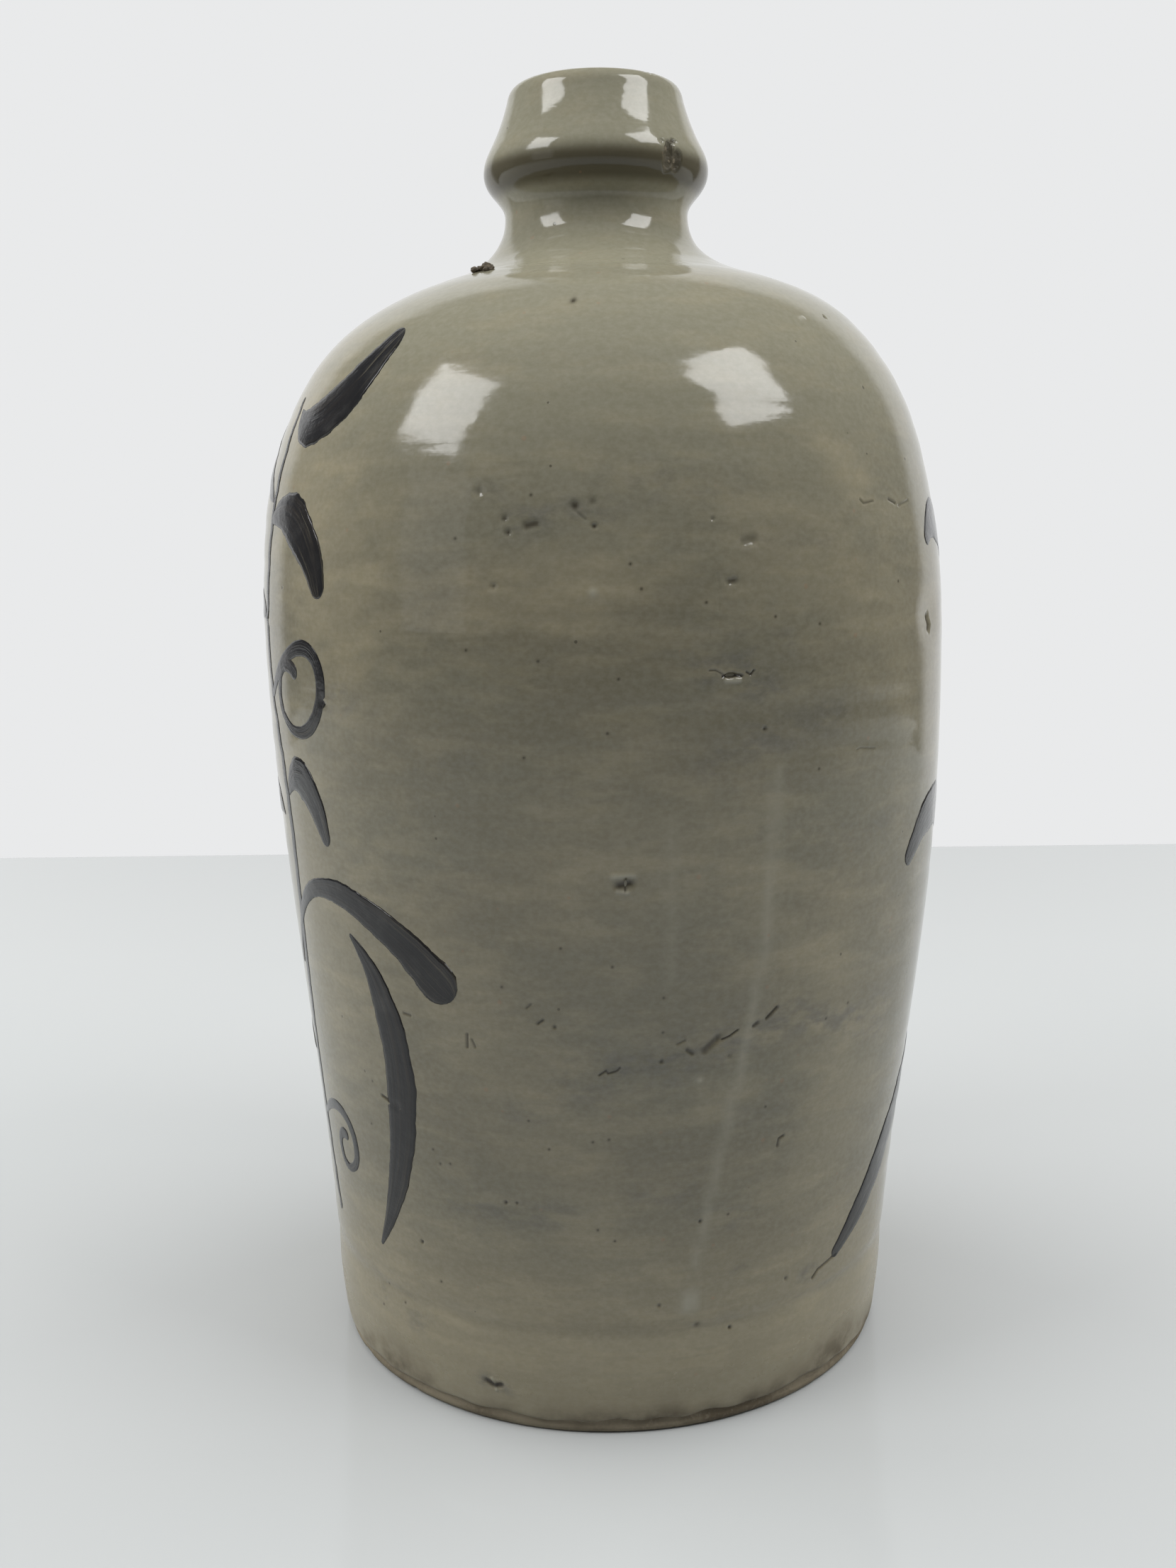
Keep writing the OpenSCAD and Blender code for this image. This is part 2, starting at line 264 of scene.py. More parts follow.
# Marks that chance left in the glaze. Each is a chain of places (degrees from the front,
# height in mm), half width in mm, depth in mm (raised if negative) and how dark it fired.
# The places on the front, here and in PINHOLES, are not free choices: most are the printed
# output of another program, which carried places picked in the photo over to the flask.
# Those in SMUDGES, RUNS and WARM began in the same way. The sides and back are made up.
MARKS = [
    ([(-3.2, 169.9)], 0.75, 0.42, 0.9),
    ([(-3.2, 169.1), (-1.8, 167.7)], 0.22, 0.16, 0.35),
    ([(-0.7, 170.6)], 0.7, 0.2, 0.5),
    ([(-0.6, 166.6)], 0.45, 0.35, 1.0),
    ([(-13.3, 168.0)], 0.5, 0.35, 0.9),
    ([(-12.8, 165.8)], 0.55, 0.4, 0.9),
    ([(-10.1, 166.8), (-8.8, 167.1)], 0.7, 0.32, 0.8),
    ([(16.1, 167.5)], 0.35, 0.25, 0.3),
    ([(20.5, 163.8), (22.0, 164.1)], 0.8, 0.3, 0.35),
    ([(18.0, 157.4), (18.8, 157.5)], 0.55, 0.38, 0.75),
    ([(-1.1, 156.0)], 0.7, -0.22, 0.0),
    ([(16.2, 158.7), (16.5, 156.1), (16.3, 152.8)], 0.16, 0.12, 0.0),
    ([(-15.0, 157.2)], 0.5, 0.3, 0.6),
    ([(-17.1, 172.4)], 0.7, 0.26, 0.4),
    ([(14.8, 143.0), (15.7, 143.0), (16.8, 142.2)], 0.17, 0.2, 0.7),
    ([(16.8, 141.9), (17.6, 142.1), (18.3, 142.1), (19.5, 141.9)], 0.3, 0.5, 1.5),
    ([(17.6, 142.0), (18.2, 142.05)], 0.45, 0.5, 1.6),
    ([(20.3, 142.5), (20.9, 142.0), (21.4, 142.7)], 0.2, 0.3, 1.2),
    ([(17.2, 141.2), (19.2, 141.2)], 0.35, -0.12, 0.0),
    ([(23.1, 132.8)], 0.4, 0.32, 1.0),
    ([(62.8, 149.0), (63.0, 146.9)], 0.8, 0.5, 0.9),
    ([(42.8, 170.4), (43.5, 169.7), (46.0, 170.1)], 0.22, 0.2, 0.6),
    ([(50.6, 170.4), (52.5, 169.7)], 0.3, 0.25, 0.7),
    ([(53.5, 169.3), (57.5, 170.2)], 0.25, 0.2, 0.4),
    ([(40.2, 127.4), (41.0, 127.6), (44.4, 127.1)], 0.17, 0.15, 0.5),
    ([(1.5, 107.2), (2.9, 107.6)], 0.9, 0.45, 0.9),
    ([(0.6, 108.7), (3.4, 108.8)], 0.6, -0.25, 0.0),
    ([(1.2, 106.2), (2.6, 105.9)], 0.4, -0.18, 0.0),
    ([(2.4, 108.4), (2.3, 106.2)], 0.2, 0.3, 1.0),
    ([(-13.0, 84.8), (-12.3, 85.5)], 0.22, 0.2, 0.6),
    ([(-11.3, 82.0), (-10.5, 82.7)], 0.28, 0.25, 0.9),
    ([(-8.7, 81.5)], 0.38, 0.3, 0.8),
    ([(-23.2, 78.7), (-23.3, 76.3)], 0.26, 0.3, 0.8),
    ([(-22.4, 77.8), (-21.9, 76.5)], 0.24, 0.25, 0.7),
    ([(10.2, 78.0), (11.4, 78.6)], 0.24, 0.2, 0.5),
    ([(11.8, 76.8), (12.7, 76.0)], 0.4, 0.3, 0.8),
    ([(14.6, 76.5), (16.7, 78.6)], 0.8, 0.42, 0.8),
    ([(17.4, 78.1), (18.7, 78.6), (20.0, 79.6)], 0.2, 0.3, 1.1),
    ([(22.6, 79.9), (23.3, 80.5)], 0.38, 0.3, 0.9),
    ([(24.8, 81.0), (26.6, 82.8)], 0.3, 0.35, 1.0),
    ([(18.8, 74.8)], 0.5, 0.3, 0.5),
    ([(7.8, 74.9)], 0.45, 0.35, 0.8),
    ([(-1.9, 72.6), (-0.8, 73.5), (-0.5, 72.9), (0.8, 73.4), (1.3, 74.0)], 0.2, 0.28, 0.9),
    ([(14.1, 70.8)], 0.55, -0.2, 0.0),
    ([(-35.3, 80.6), (-33.9, 80.4)], 0.25, 0.25, 0.7),
    ([(-42.9, 62.4), (-41.0, 61.8), (-38.6, 61.3)], 0.3, 0.3, 1.1),
    ([(29.2, 55.2), (29.4, 56.6), (30.3, 57.0)], 0.26, 0.28, 0.9),
    ([(-18.0, 46.5)], 0.38, 0.3, 1.1),
    ([(-16.0, 46.7)], 0.3, 0.25, 0.9),
    ([(-36.3, 34.2)], 0.42, 0.3, 1.2),
    ([(15.5, 42.8)], 0.38, 0.3, 1.1),
    ([(40.5, 24.6), (41.9, 25.9), (46.8, 27.1)], 0.3, 0.3, 0.9),
    ([(33.6, 26.9)], 0.45, 0.25, 0.8),
    ([(8.6, 26.6)], 0.4, 0.3, 0.7),
    ([(15.6, 21.6)], 0.6, 0.25, 0.7),
    ([(22.1, 19.8)], 0.4, 0.3, 1.2),
    ([(-23.6, 8.9), (-22.0, 8.2), (-20.6, 8.6)], 0.55, 0.4, 1.2),
    ([(-22.4, 9.6), (-21.6, 7.4)], 0.3, -0.2, 0.4),
    ([(-48.1, 136.2), (-47.2, 135.8)], 0.5, 0.3, 0.9),
    ([(-5.5, 204.0)], 0.6, 0.15, 1.0),
    ([(42.0, 201.6), (43.6, 201.9)], 0.35, -0.1, 0.0),
    ([(52.1, 202.8)], 0.4, 0.2, 0.6),
    # On the sides and the back
    ([(104.0, 121.0), (106.5, 121.8), (108.2, 121.2)], 0.3, 0.35, 1.0),
    ([(131.0, 88.0), (134.0, 88.5)], 0.6, 0.35, 0.8),
    ([(152.0, 152.0)], 0.7, 0.35, 0.8),
    ([(158.0, 149.5)], 0.45, 0.3, 1.0),
    ([(171.0, 61.0), (174.5, 62.5), (176.0, 61.8)], 0.26, 0.3, 1.0),
    ([(-118.0, 134.0), (-114.5, 134.8)], 0.8, 0.3, 0.5),
    ([(-141.0, 104.0)], 0.6, 0.35, 0.9),
    ([(-146.5, 101.5), (-145.0, 102.2)], 0.4, 0.3, 1.0),
    ([(-163.0, 178.0)], 0.6, -0.2, 0.0),
    ([(-128.0, 47.0), (-125.0, 46.4)], 0.35, 0.3, 0.9),
]
# Iron specks and pinholes: degrees from the front and height in mm
PINHOLES = [
    (4.1, 160.5), (5.5, 156.5), (14.5, 154.1), (24.9, 151.4), (50.8, 156.1), (-9.4, 171.7),
    (-20.7, 164.9), (-19.3, 146.7), (-8.9, 145.0), (2.1, 142.0), (32.5, 149.8), (32.5, 125.0),
    (-11.4, 129.0), (0.4, 133.1), (76.2, 134.6), (59.6, 177.6), (-7.4, 96.0), (0.2, 92.7),
    (7.9, 80.4), (-45.2, 64.6), (-47.1, 55.3), (-13.4, 63.3), (-32.4, 27.1), (-47.5, 21.3),
    (-49.4, 16.2), (-42.5, 19.2), (20.6, 43.4), (-2.1, 42.3), (0.8, 40.1), (-31.7, 54.5),
    (-30.4, 51.9), (-28.3, 52.4), (-10.1, 58.0), (-0.3, 60.2), (-2.9, 59.7), (36.8, 78.4),
    (41.6, 80.3), (-16.8, 88.4), (7.9, 86.8), (26.1, 63.7), (96, 92), (118, 141), (139, 52),
    (165, 112), (-171, 83), (-152, 139), (-133, 71), (-109, 156), (-97, 58), (126, 171),
]
# Blue-grey smudges: a chain of places, half height in mm and strength
SMUDGES = [
    ([(16.5, 142.5), (21.5, 141.5)], 5.2, 0.62),
    ([(23.0, 145.6), (26.4, 147.2)], 2.2, 0.55),
    ([(15.0, 127.5), (22.0, 130.8), (33.0, 132.8), (36.0, 135.2)], 3.6, 0.45),
    ([(-12.5, 167.0), (-7.5, 167.4)], 2.6, 0.6),
    ([(-3.6, 169.6), (0.4, 168.8)], 2.4, 0.45),
    ([(-18.0, 171.8), (-14.0, 172.2)], 2.0, 0.3),
    ([(2.0, 172.5), (20.0, 174.0)], 3.6, 0.3),
    ([(22.0, 163.6), (34.0, 163.6)], 2.0, 0.25),
    ([(-48.6, 136.2), (-42.0, 136.8)], 2.4, 0.5),
    ([(-27.0, 126.0), (-19.5, 126.4)], 2.4, 0.35),
    ([(36.0, 113.2), (47.5, 111.6)], 2.6, 0.35),
    ([(-5.0, 71.5), (9.0, 75.6), (18.0, 77.6), (27.0, 80.4), (50.0, 76.5)], 4.2, 0.62),
    ([(-16.0, 64.6), (-11.0, 63.6)], 2.4, 0.4),
    ([(21.0, 63.4), (30.0, 62.2)], 2.0, 0.28),
    ([(-28.0, 44.6), (-17.0, 43.4), (-7.6, 45.6)], 3.0, 0.5),
    ([(5.0, 49.2), (14.0, 47.4)], 2.4, 0.4),
    ([(15.0, 43.0), (24.0, 42.6)], 2.0, 0.4),
    ([(36.5, 25.2), (46.8, 27.6)], 1.5, 0.55),
    ([(23.0, 31.2), (26.0, 31.8)], 1.3, 0.5),
    ([(-48.6, 20.4), (-40.0, 18.4)], 3.2, 0.5),
    ([(-24.0, 9.0), (-20.0, 8.0)], 1.8, 0.7),
    ([(96.0, 70.0), (118.0, 76.0), (133.0, 73.0)], 4.2, 0.5),
    ([(128.0, 88.0), (136.0, 88.6)], 3.0, 0.5),
    ([(148.0, 151.0), (162.0, 149.0)], 3.4, 0.5),
    ([(166.0, 60.0), (182.0, 63.0)], 4.0, 0.55),
    ([(140.0, 122.0), (170.0, 126.0)], 4.8, 0.35),
    ([(-120.0, 133.5), (-111.0, 135.2)], 3.6, 0.5),
    ([(-150.0, 102.0), (-138.0, 104.5)], 3.2, 0.5),
    ([(-178.0, 96.0), (-160.0, 92.0)], 4.0, 0.35),
    ([(-134.0, 47.5), (-120.0, 46.0)], 3.0, 0.5),
    ([(-104.0, 24.0), (-92.0, 27.0)], 2.4, 0.45),
]
# Thick glaze that ran down and set: a chain of places, half width in mm and height in mm
RUNS = [
    ([(25.0, 126.0), (24.7, 112.0), (23.6, 93.0), (21.0, 73.0), (18.0, 53.0), (15.0, 34.0)],
     1.1, 0.03),
    ([(14.2, 27.5), (14.0, 26.0)], 1.7, 0.16),
    ([(9.0, 118.0), (9.0, 90.0)], 0.9, 0.0),
    ([(-151.0, 141.0), (-150.0, 96.0), (-148.5, 71.0)], 1.1, 0.04),
    ([(-148.2, 68.5), (-148.1, 67.2)], 1.6, 0.16),
    ([(122.0, 96.0), (121.5, 58.0), (121.8, 41.0)], 1.0, 0.04),
]
# Warm brown-pink and ochre patches: a chain of places, half height in mm and strength
WARM = [
    ([(-16.0, 155.0), (2.0, 158.0)], 7.0, 0.45),
    ([(-6.0, 108.0), (12.0, 112.0)], 12.0, 0.25),
    ([(38.3, 179.5), (42.0, 174.0)], 4.0, 0.65),
    ([(16.0, 66.0), (22.0, 68.0)], 4.0, 0.35),
    ([(60.0, 150.0), (70.0, 130.0)], 16.0, 0.3),
    ([(-64.0, 188.0), (-48.0, 168.0), (-44.0, 150.0)], 16.0, 0.6),
    ([(-62.0, 112.0), (-52.0, 78.0)], 20.0, 0.4),
    ([(-30.0, 92.0), (-10.0, 60.0), (-4.0, 44.0)], 11.0, 0.34),
    ([(34.0, 92.0), (44.0, 62.0), (40.0, 46.0)], 12.0, 0.42),
    ([(20.0, 110.0), (24.0, 100.0)], 7.0, 0.35),
    ([(28.0, 160.0), (52.0, 150.0)], 12.0, 0.35),
    ([(150.0, 108.0), (176.0, 112.0)], 12.0, 0.4),
    ([(-140.0, 160.0), (-118.0, 163.0)], 9.0, 0.45),
]


def chain_distance(x, y, chain):
    """Distance from each x, y to the nearest place on a chain."""
    best = np.full(len(x), 1e9)
    ends = chain if len(chain) > 1 else chain * 2
    for (ax, ay), (bx, by) in zip(ends[:-1], ends[1:]):
        dx, dy = bx - ax, by - ay
        t = np.clip(((x - ax) * dx + (y - ay) * dy) / max(dx * dx + dy * dy, 1e-12), 0, 1)
        best = np.minimum(best, np.hypot(x - ax - t * dx, y - ay - t * dy))
    return best


class Form:
    """The thrown form: where any place on its skin, inside or out, really lies."""

    def __init__(self, s):
        self.s = s
        foot_r, belly_r, shoulder_r = s.foot_d / 2, s.belly_d / 2, s.shoulder_d / 2
        neck_r, collar_r = s.neck_d / 2, s.collar_d / 2
        lip_r, mouth_r = s.lip_d / 2, s.mouth_d / 2
        crease_r = foot_r + 0.9 * MM
        waist_r, waist_h = crease_r + s.crease_t, s.crease_h + 1.5 * MM
        lip_top = mix(mouth_r, lip_r, 0.46)
        self.outside = Outline([
            bend((foot_r, s.bare_h), (foot_r + 0.9 * MM, mix(s.bare_h, s.crease_h, 0.4)),
                 (crease_r + 0.6 * MM, mix(s.bare_h, s.crease_h, 0.75)),
                 (crease_r, s.crease_h)),
            bend((waist_r, waist_h),
                 (mix(waist_r, belly_r, RISE_OUT), mix(waist_h, s.belly_h, RISE_LOW)),
                 (belly_r, mix(waist_h, s.belly_h, RISE_HIGH)), (belly_r, s.belly_h)),
            bend((belly_r, s.belly_h), (belly_r, mix(s.belly_h, s.shoulder_h, DOME_LOW)),
                 (mix(shoulder_r, belly_r, DOME_IN), mix(s.belly_h, s.shoulder_h, DOME_HIGH)),
                 (shoulder_r, s.shoulder_h)),
            bend((shoulder_r, s.shoulder_h),
                 (mix(shoulder_r, neck_r, 0.187), mix(s.shoulder_h, s.neck_h, 0.101)),
                 (neck_r, mix(s.shoulder_h, s.neck_h, 0.259)), (neck_r, s.neck_h)),
            bend((neck_r, s.neck_h), (neck_r, mix(s.neck_h, s.collar_h, 0.381)),
                 (collar_r, mix(s.neck_h, s.collar_h, 0.542)), (collar_r, s.collar_h)),
            bend((collar_r, s.collar_h), (collar_r, mix(s.collar_h, s.lip_h, 0.287)),
                 (mix(collar_r, lip_r, 0.46), mix(s.collar_h, s.lip_h, 0.315)),
                 (lip_r, s.lip_h)),
            bend((lip_r, s.lip_h), (lip_r - 0.3 * MM, mix(s.lip_h, s.total_h, 0.75)),
                 (mix(lip_r, lip_top, 0.5), s.total_h), (lip_top, s.total_h), 30),
            bend((lip_top, s.total_h), (mix(lip_top, mouth_r, 0.6), s.total_h),
                 (mouth_r, mix(s.lip_h, s.total_h, 0.7)), (mouth_r, s.lip_h), 30),
        ], 0.35 * MM)
        corner, wall_r = 9 * MM, waist_r - s.wall_t
        lean = math.radians(18.2)
        dome = (shoulder_r - s.wall_t * math.sin(lean),
                s.shoulder_h - s.wall_t * math.cos(lean))
        throat_h = s.shoulder_h + 0.57 * (s.neck_h - s.shoulder_h)
        turn = np.linspace(0, math.pi / 2, 16)
        self.hollow = Outline([
            np.array([[0, s.floor_h], [wall_r - corner, s.floor_h]]),
            np.stack([wall_r - corner * (1 - np.sin(turn)),
                      s.floor_h + corner * (1 - np.cos(turn))], 1),
            bend((wall_r, s.floor_h + corner),
                 (mix(waist_r, belly_r, RISE_OUT) - s.wall_t, mix(waist_h, s.belly_h, RISE_LOW)),
                 (belly_r - s.wall_t, mix(waist_h, s.belly_h, RISE_HIGH)),
                 (belly_r - s.wall_t, s.belly_h)),
            bend((belly_r - s.wall_t, s.belly_h),
                 (belly_r - s.wall_t, mix(s.belly_h, dome[1], DOME_LOW)),
                 (mix(dome[0], belly_r - s.wall_t, DOME_IN), mix(s.belly_h, dome[1], DOME_HIGH)),
                 dome),
            bend(dome, (mix(dome[0], mouth_r, 0.5), mix(dome[1], throat_h, 0.5) - 3.5 * MM),
                 (mouth_r, mix(dome[1], throat_h, 0.35)), (mouth_r, throat_h)),
            np.array([[mouth_r, s.lip_h]]),
        ], 0.5 * MM)

    def warp(self, points):
        """The lean, the ovalness and the slow unevenness of a form thrown by hand."""
        points = points.copy()
        az = np.arctan2(points[:, 0], -points[:, 1])
        z = points[:, 2] / MM
        body = ramp(z, 4, 30) * (1 - ramp(z, 196, 222))
        swell = self.s.uneven_t * drift(points, 0.085, 3) * body
        radius = np.maximum(np.hypot(points[:, 0], points[:, 1]), 1e-9)
        grow = 1 + self.s.oval * np.cos(2 * az - math.pi / 2) * body + swell / radius * (
            radius > 0.02
        )
        points[:, :2] *= grow[:, None]
        sway = 0.9 * bump(z - 90, 40) - 0.45 * bump(z - 175, 12) + 1.5 * bump(z - 211, 8)
        points[:, 0] += sway * MM * (1 - ramp(z, 212, 222))
        return points

    def near(self, az, z, chain, reach):
        """Which places lie within reach of a chain, and their distances to it in mm."""
        middle = sum(p[0] for p in chain) / len(chain)
        height = sum(p[1] for p in chain) / len(chain)
        r = np.interp(height, self.outside.z[: self.outside.peak] / MM,
                      self.outside.r[: self.outside.peak] / MM)
        turned = (np.degrees(az) - middle + 180) % 360 - 180
        x = np.radians(turned) * r
        flat = [(math.radians(a - middle) * r, h) for a, h in chain]
        wide = max(abs(p[0]) for p in flat) + reach
        low, high = min(p[1] for p in flat) - reach, max(p[1] for p in flat) + reach
        here = np.flatnonzero((np.abs(x) < wide) & (z / MM > low) & (z / MM < high))
        return here, chain_distance(x[here], z[here] / MM, flat)

    def relief(self, az, u, z, points):
        """Height of the skin's own detail: finger rings, the belt seam, runs and marks."""
        s = self.s
        turn = 2 * math.pi * u / s.finger_pitch + az
        strong = 0.5 + 0.5 * np.tanh(1.3 * drift(points * (1, 1, 2.4), 0.07, 5))
        rings = s.finger_t * strong * (np.sin(turn) + 0.35 * np.sin(2 * turn + 1))
        rings *= ramp(u, 0, 12 * MM) * (1 - ramp(u, self.outside.length - 26 * MM,
                                                 self.outside.length - 10 * MM))
        belt = 149.0 * MM - 1.5 * MM * np.sin(az) + 0.3 * MM * drift(points, 0.03, 6)
        ragged = 0.55 + 0.45 * drift(points, 0.02, 7)
        height = rings + s.belt_t * ragged * bump(z - belt, 0.8 * MM)
        # The wall was cut on a slant below the right of the foot and patted smooth
        height -= 0.5 * MM * bump(az - math.radians(63), 0.09) * bump(z - 149 * MM, 4 * MM)
        for chain, half, high in RUNS:
            here, off = self.near(az, z, chain, 3 * half)
            height[here] += high * MM * bump(off, half)
        for chain, half, deep, _ in MARKS:
            here, off = self.near(az, z, chain, 4 * half)
            hole = -0.8 * deep * bump(off, half) + 0.10 * deep * bump(off - 1.7 * half, 0.7 * half)
            height[here] += hole * MM
        return height

    def chip(self, az, r, z):
        """Radius left where the collar's edge was knocked, and how deep the knock is."""
        rough = np.stack([r * np.sin(az), z, r], 1)
        worn = 0.16 * drift(rough, 0.0035, 11) + 0.07 * drift(rough, 0.0012, 12)
        left = r.copy()
        bites = [(39.0, 233.6, 1.25, 1.7, 4.6, 0.10), (44.0, 232.4, 1.15, 1.5, 3.2, -0.12),
                 (34.5, 236.4, 0.7, 1.7, 1.2, 0.05), (43.0, 236.6, 0.8, 2.2, 1.0, 0.1)]
        for turn, high, deep, wide, tall, tilt in bites:
            x = (az - math.radians(turn)) * self.s.collar_d / 2 / MM
            y = z / MM - high
            allowed = self.s.collar_d / 2 / MM - deep + 1.3 * ((x / wide) ** 2) + 1.3 * (
                (y / tall) ** 2
            ) + tilt * y + worn
            near = (np.abs(x) < 2 * wide) & (np.abs(y) < 2 * tall)
            left = np.where(near, np.minimum(left, allowed * MM), left)
        return left, r - left

    def knock(self, az, r, z):
        """Height in mm of the floor of the small knock in the lip, and where it bites."""
        x, y = (az - math.radians(40.5)) * 15.5, (r / MM - 16.4)
        floor = 249.25 + 0.11 * x**2 + 0.35 * y * y + 0.1 * np.sin(5 * x)
        return floor, (np.abs(x) < 3.2) & (r > 0.0148) & (z / MM > 248) & (z / MM > floor)

    def skin(self, az, u, sink=0.0):
        """Places on the outside, sunk by some depth, and the depth of any chip there."""
        lathe = self.outside
        r, z = lathe.point(u)
        base = around(az, r, z)
        high = self.relief(az, u, z, base)
        r, z = lathe.point(u, sink - high)
        cut = np.zeros(len(r))
        near = (np.abs(az - math.radians(38)) < 0.5) & (z > 0.229) & (z < 0.2425)
        left, deep = self.chip(az[near], r[near], z[near])
        r[near], cut[near] = left, deep
        floor, nick = self.knock(az, r, z)
        cut[nick] = z[nick] - floor[nick] * MM
        z[nick] = floor[nick] * MM
        return self.warp(around(az, r, z)), cut

    def inside(self, az, w, sink=0.0):
        """Places on the inner face, sunk into the wall by some depth."""
        r, z = self.hollow.point(w)
        fade = ramp(w, 6 * MM, 20 * MM) * (1 - ramp(w, self.hollow.length - 30 * MM,
                                                    self.hollow.length - 8 * MM))
        rings = 0.25 * MM * np.sin(2 * math.pi * w / (11 * MM) - az) * fade
        spiral = 0.3 * MM * np.sin(2 * math.pi * r / (8 * MM) - az) * ramp(r, 0.003, 0.01)
        rings += spiral * (1 - ramp(w, 40 * MM, 52 * MM))
        r, z = self.hollow.point(w, rings - sink)
        return self.warp(around(az, r, z))


# ---------------------------------------------------------------- meshes


def new_piece(name, mesh, nodes, material):
    """Puts a finished mesh into the scene as a piece that stands for its CAD nodes."""
    mesh.polygons.foreach_set("use_smooth", [True] * len(mesh.polygons))
    mesh.materials.append(material)
    mesh.update()
    piece = bpy.data.objects.new(name, mesh)
    bpy.context.scene.collection.objects.link(piece)
    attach(piece, "root")
    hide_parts(*nodes)
    return piece


def paint(mesh, name, values):
    """Stores one number for each corner point under a name that a material can read."""
    mesh.attributes.new(name, "FLOAT", "POINT").data.foreach_set(
        "value", np.asarray(values, np.float32)
    )


def finish_mesh(bm, name, weld=2e-7):
    bmesh.ops.remove_doubles(bm, verts=bm.verts, dist=weld)
    bmesh.ops.dissolve_degenerate(bm, edges=bm.edges, dist=weld)
    bmesh.ops.recalc_face_normals(bm, faces=bm.faces)
    mesh = bpy.data.meshes.new(name)
    bm.to_mesh(mesh)
    bm.free()
    return mesh


def turned_mesh(name, rows, closed):
    """A closed solid from rings of places. A closed one runs back to its first ring."""
    count = len(rows[0])
    bm = bmesh.new()
    rings = [[bm.verts.new(p) for p in row] for row in rows]
    pairs = list(zip(rings[:-1], rings[1:])) + ([(rings[-1], rings[0])] if closed else [])
    for low, high in pairs:
        for i in range(count):
            j = (i + 1) % count
            bm.faces.new((low[i], low[j], high[j], high[i]))
    return finish_mesh(bm, name)


def sheet(columns, rows, spots):
    """A flat sheet of columns by rows, cut finer round each spot.

    A spot is (column place, row place, column reach, row reach, times cut)."""
    bm = bmesh.new()
    grid = [[bm.verts.new((a, v, 0)) for a in columns] for v in rows]
    for low, high in zip(grid[:-1], grid[1:]):
        for i in range(len(columns) - 1):
            bm.faces.new((low[i], low[i + 1], high[i + 1], high[i]))
    for level in range(max(s[4] for s in spots)):
        middles = np.array([f.calc_center_median()[:2] for f in bm.faces])
        chosen = np.zeros(len(middles), bool)
        for a, v, wide, tall, times in spots:
            if times > level:
                grow = 1 + 0.5 * (times - 1 - level)
                chosen |= (np.abs(middles[:, 0] - a) < wide * grow) & (
                    np.abs(middles[:, 1] - v) < tall * grow
                )
        bm.faces.ensure_lookup_table()
        edges = {e for i in np.flatnonzero(chosen) for e in bm.faces[i].edges}
        bmesh.ops.subdivide_edges(bm, edges=list(edges), cuts=1, use_grid_fill=True)
    return bm


def fine_spots(form, place):
    """Spots of the glaze's sheet that are cut finer: the marks, pinholes, chip and knock."""
    lathe = form.outside
    spots = []
    for chain, half, _, _ in MARKS:
        z = [p[1] * MM for p in chain]
        a = [p[0] for p in chain]
        r = np.interp(np.mean(z), lathe.z[: lathe.peak], lathe.r[: lathe.peak]) / MM
        u_low, u_high = lathe.at_height(min(z)), lathe.at_height(max(z))
        reach = 1.9 * half + 0.5
        spots.append((
            (min(a) + max(a)) / 2, place((u_low + u_high) / 2),
            (max(a) - min(a)) / 2 + math.degrees(reach / r),
            (place(u_high) - place(u_low)) / 2 + reach / 1.5, 3 if half < 0.5 else 2,
        ))
    for a, z in PINHOLES:
        u = lathe.at_height(z * MM)
        spots.append((a, place(u), 0.9, 0.7, 3))
    collar = lathe.at_height(form.s.collar_h + 1 * MM)
    spots.append((38.0, place(collar), 14.0, 13.0, 1))
    spots.append((40.5, place(lathe.at_height(249.2 * MM)), 13.0, 4.0, 1))
    return spots


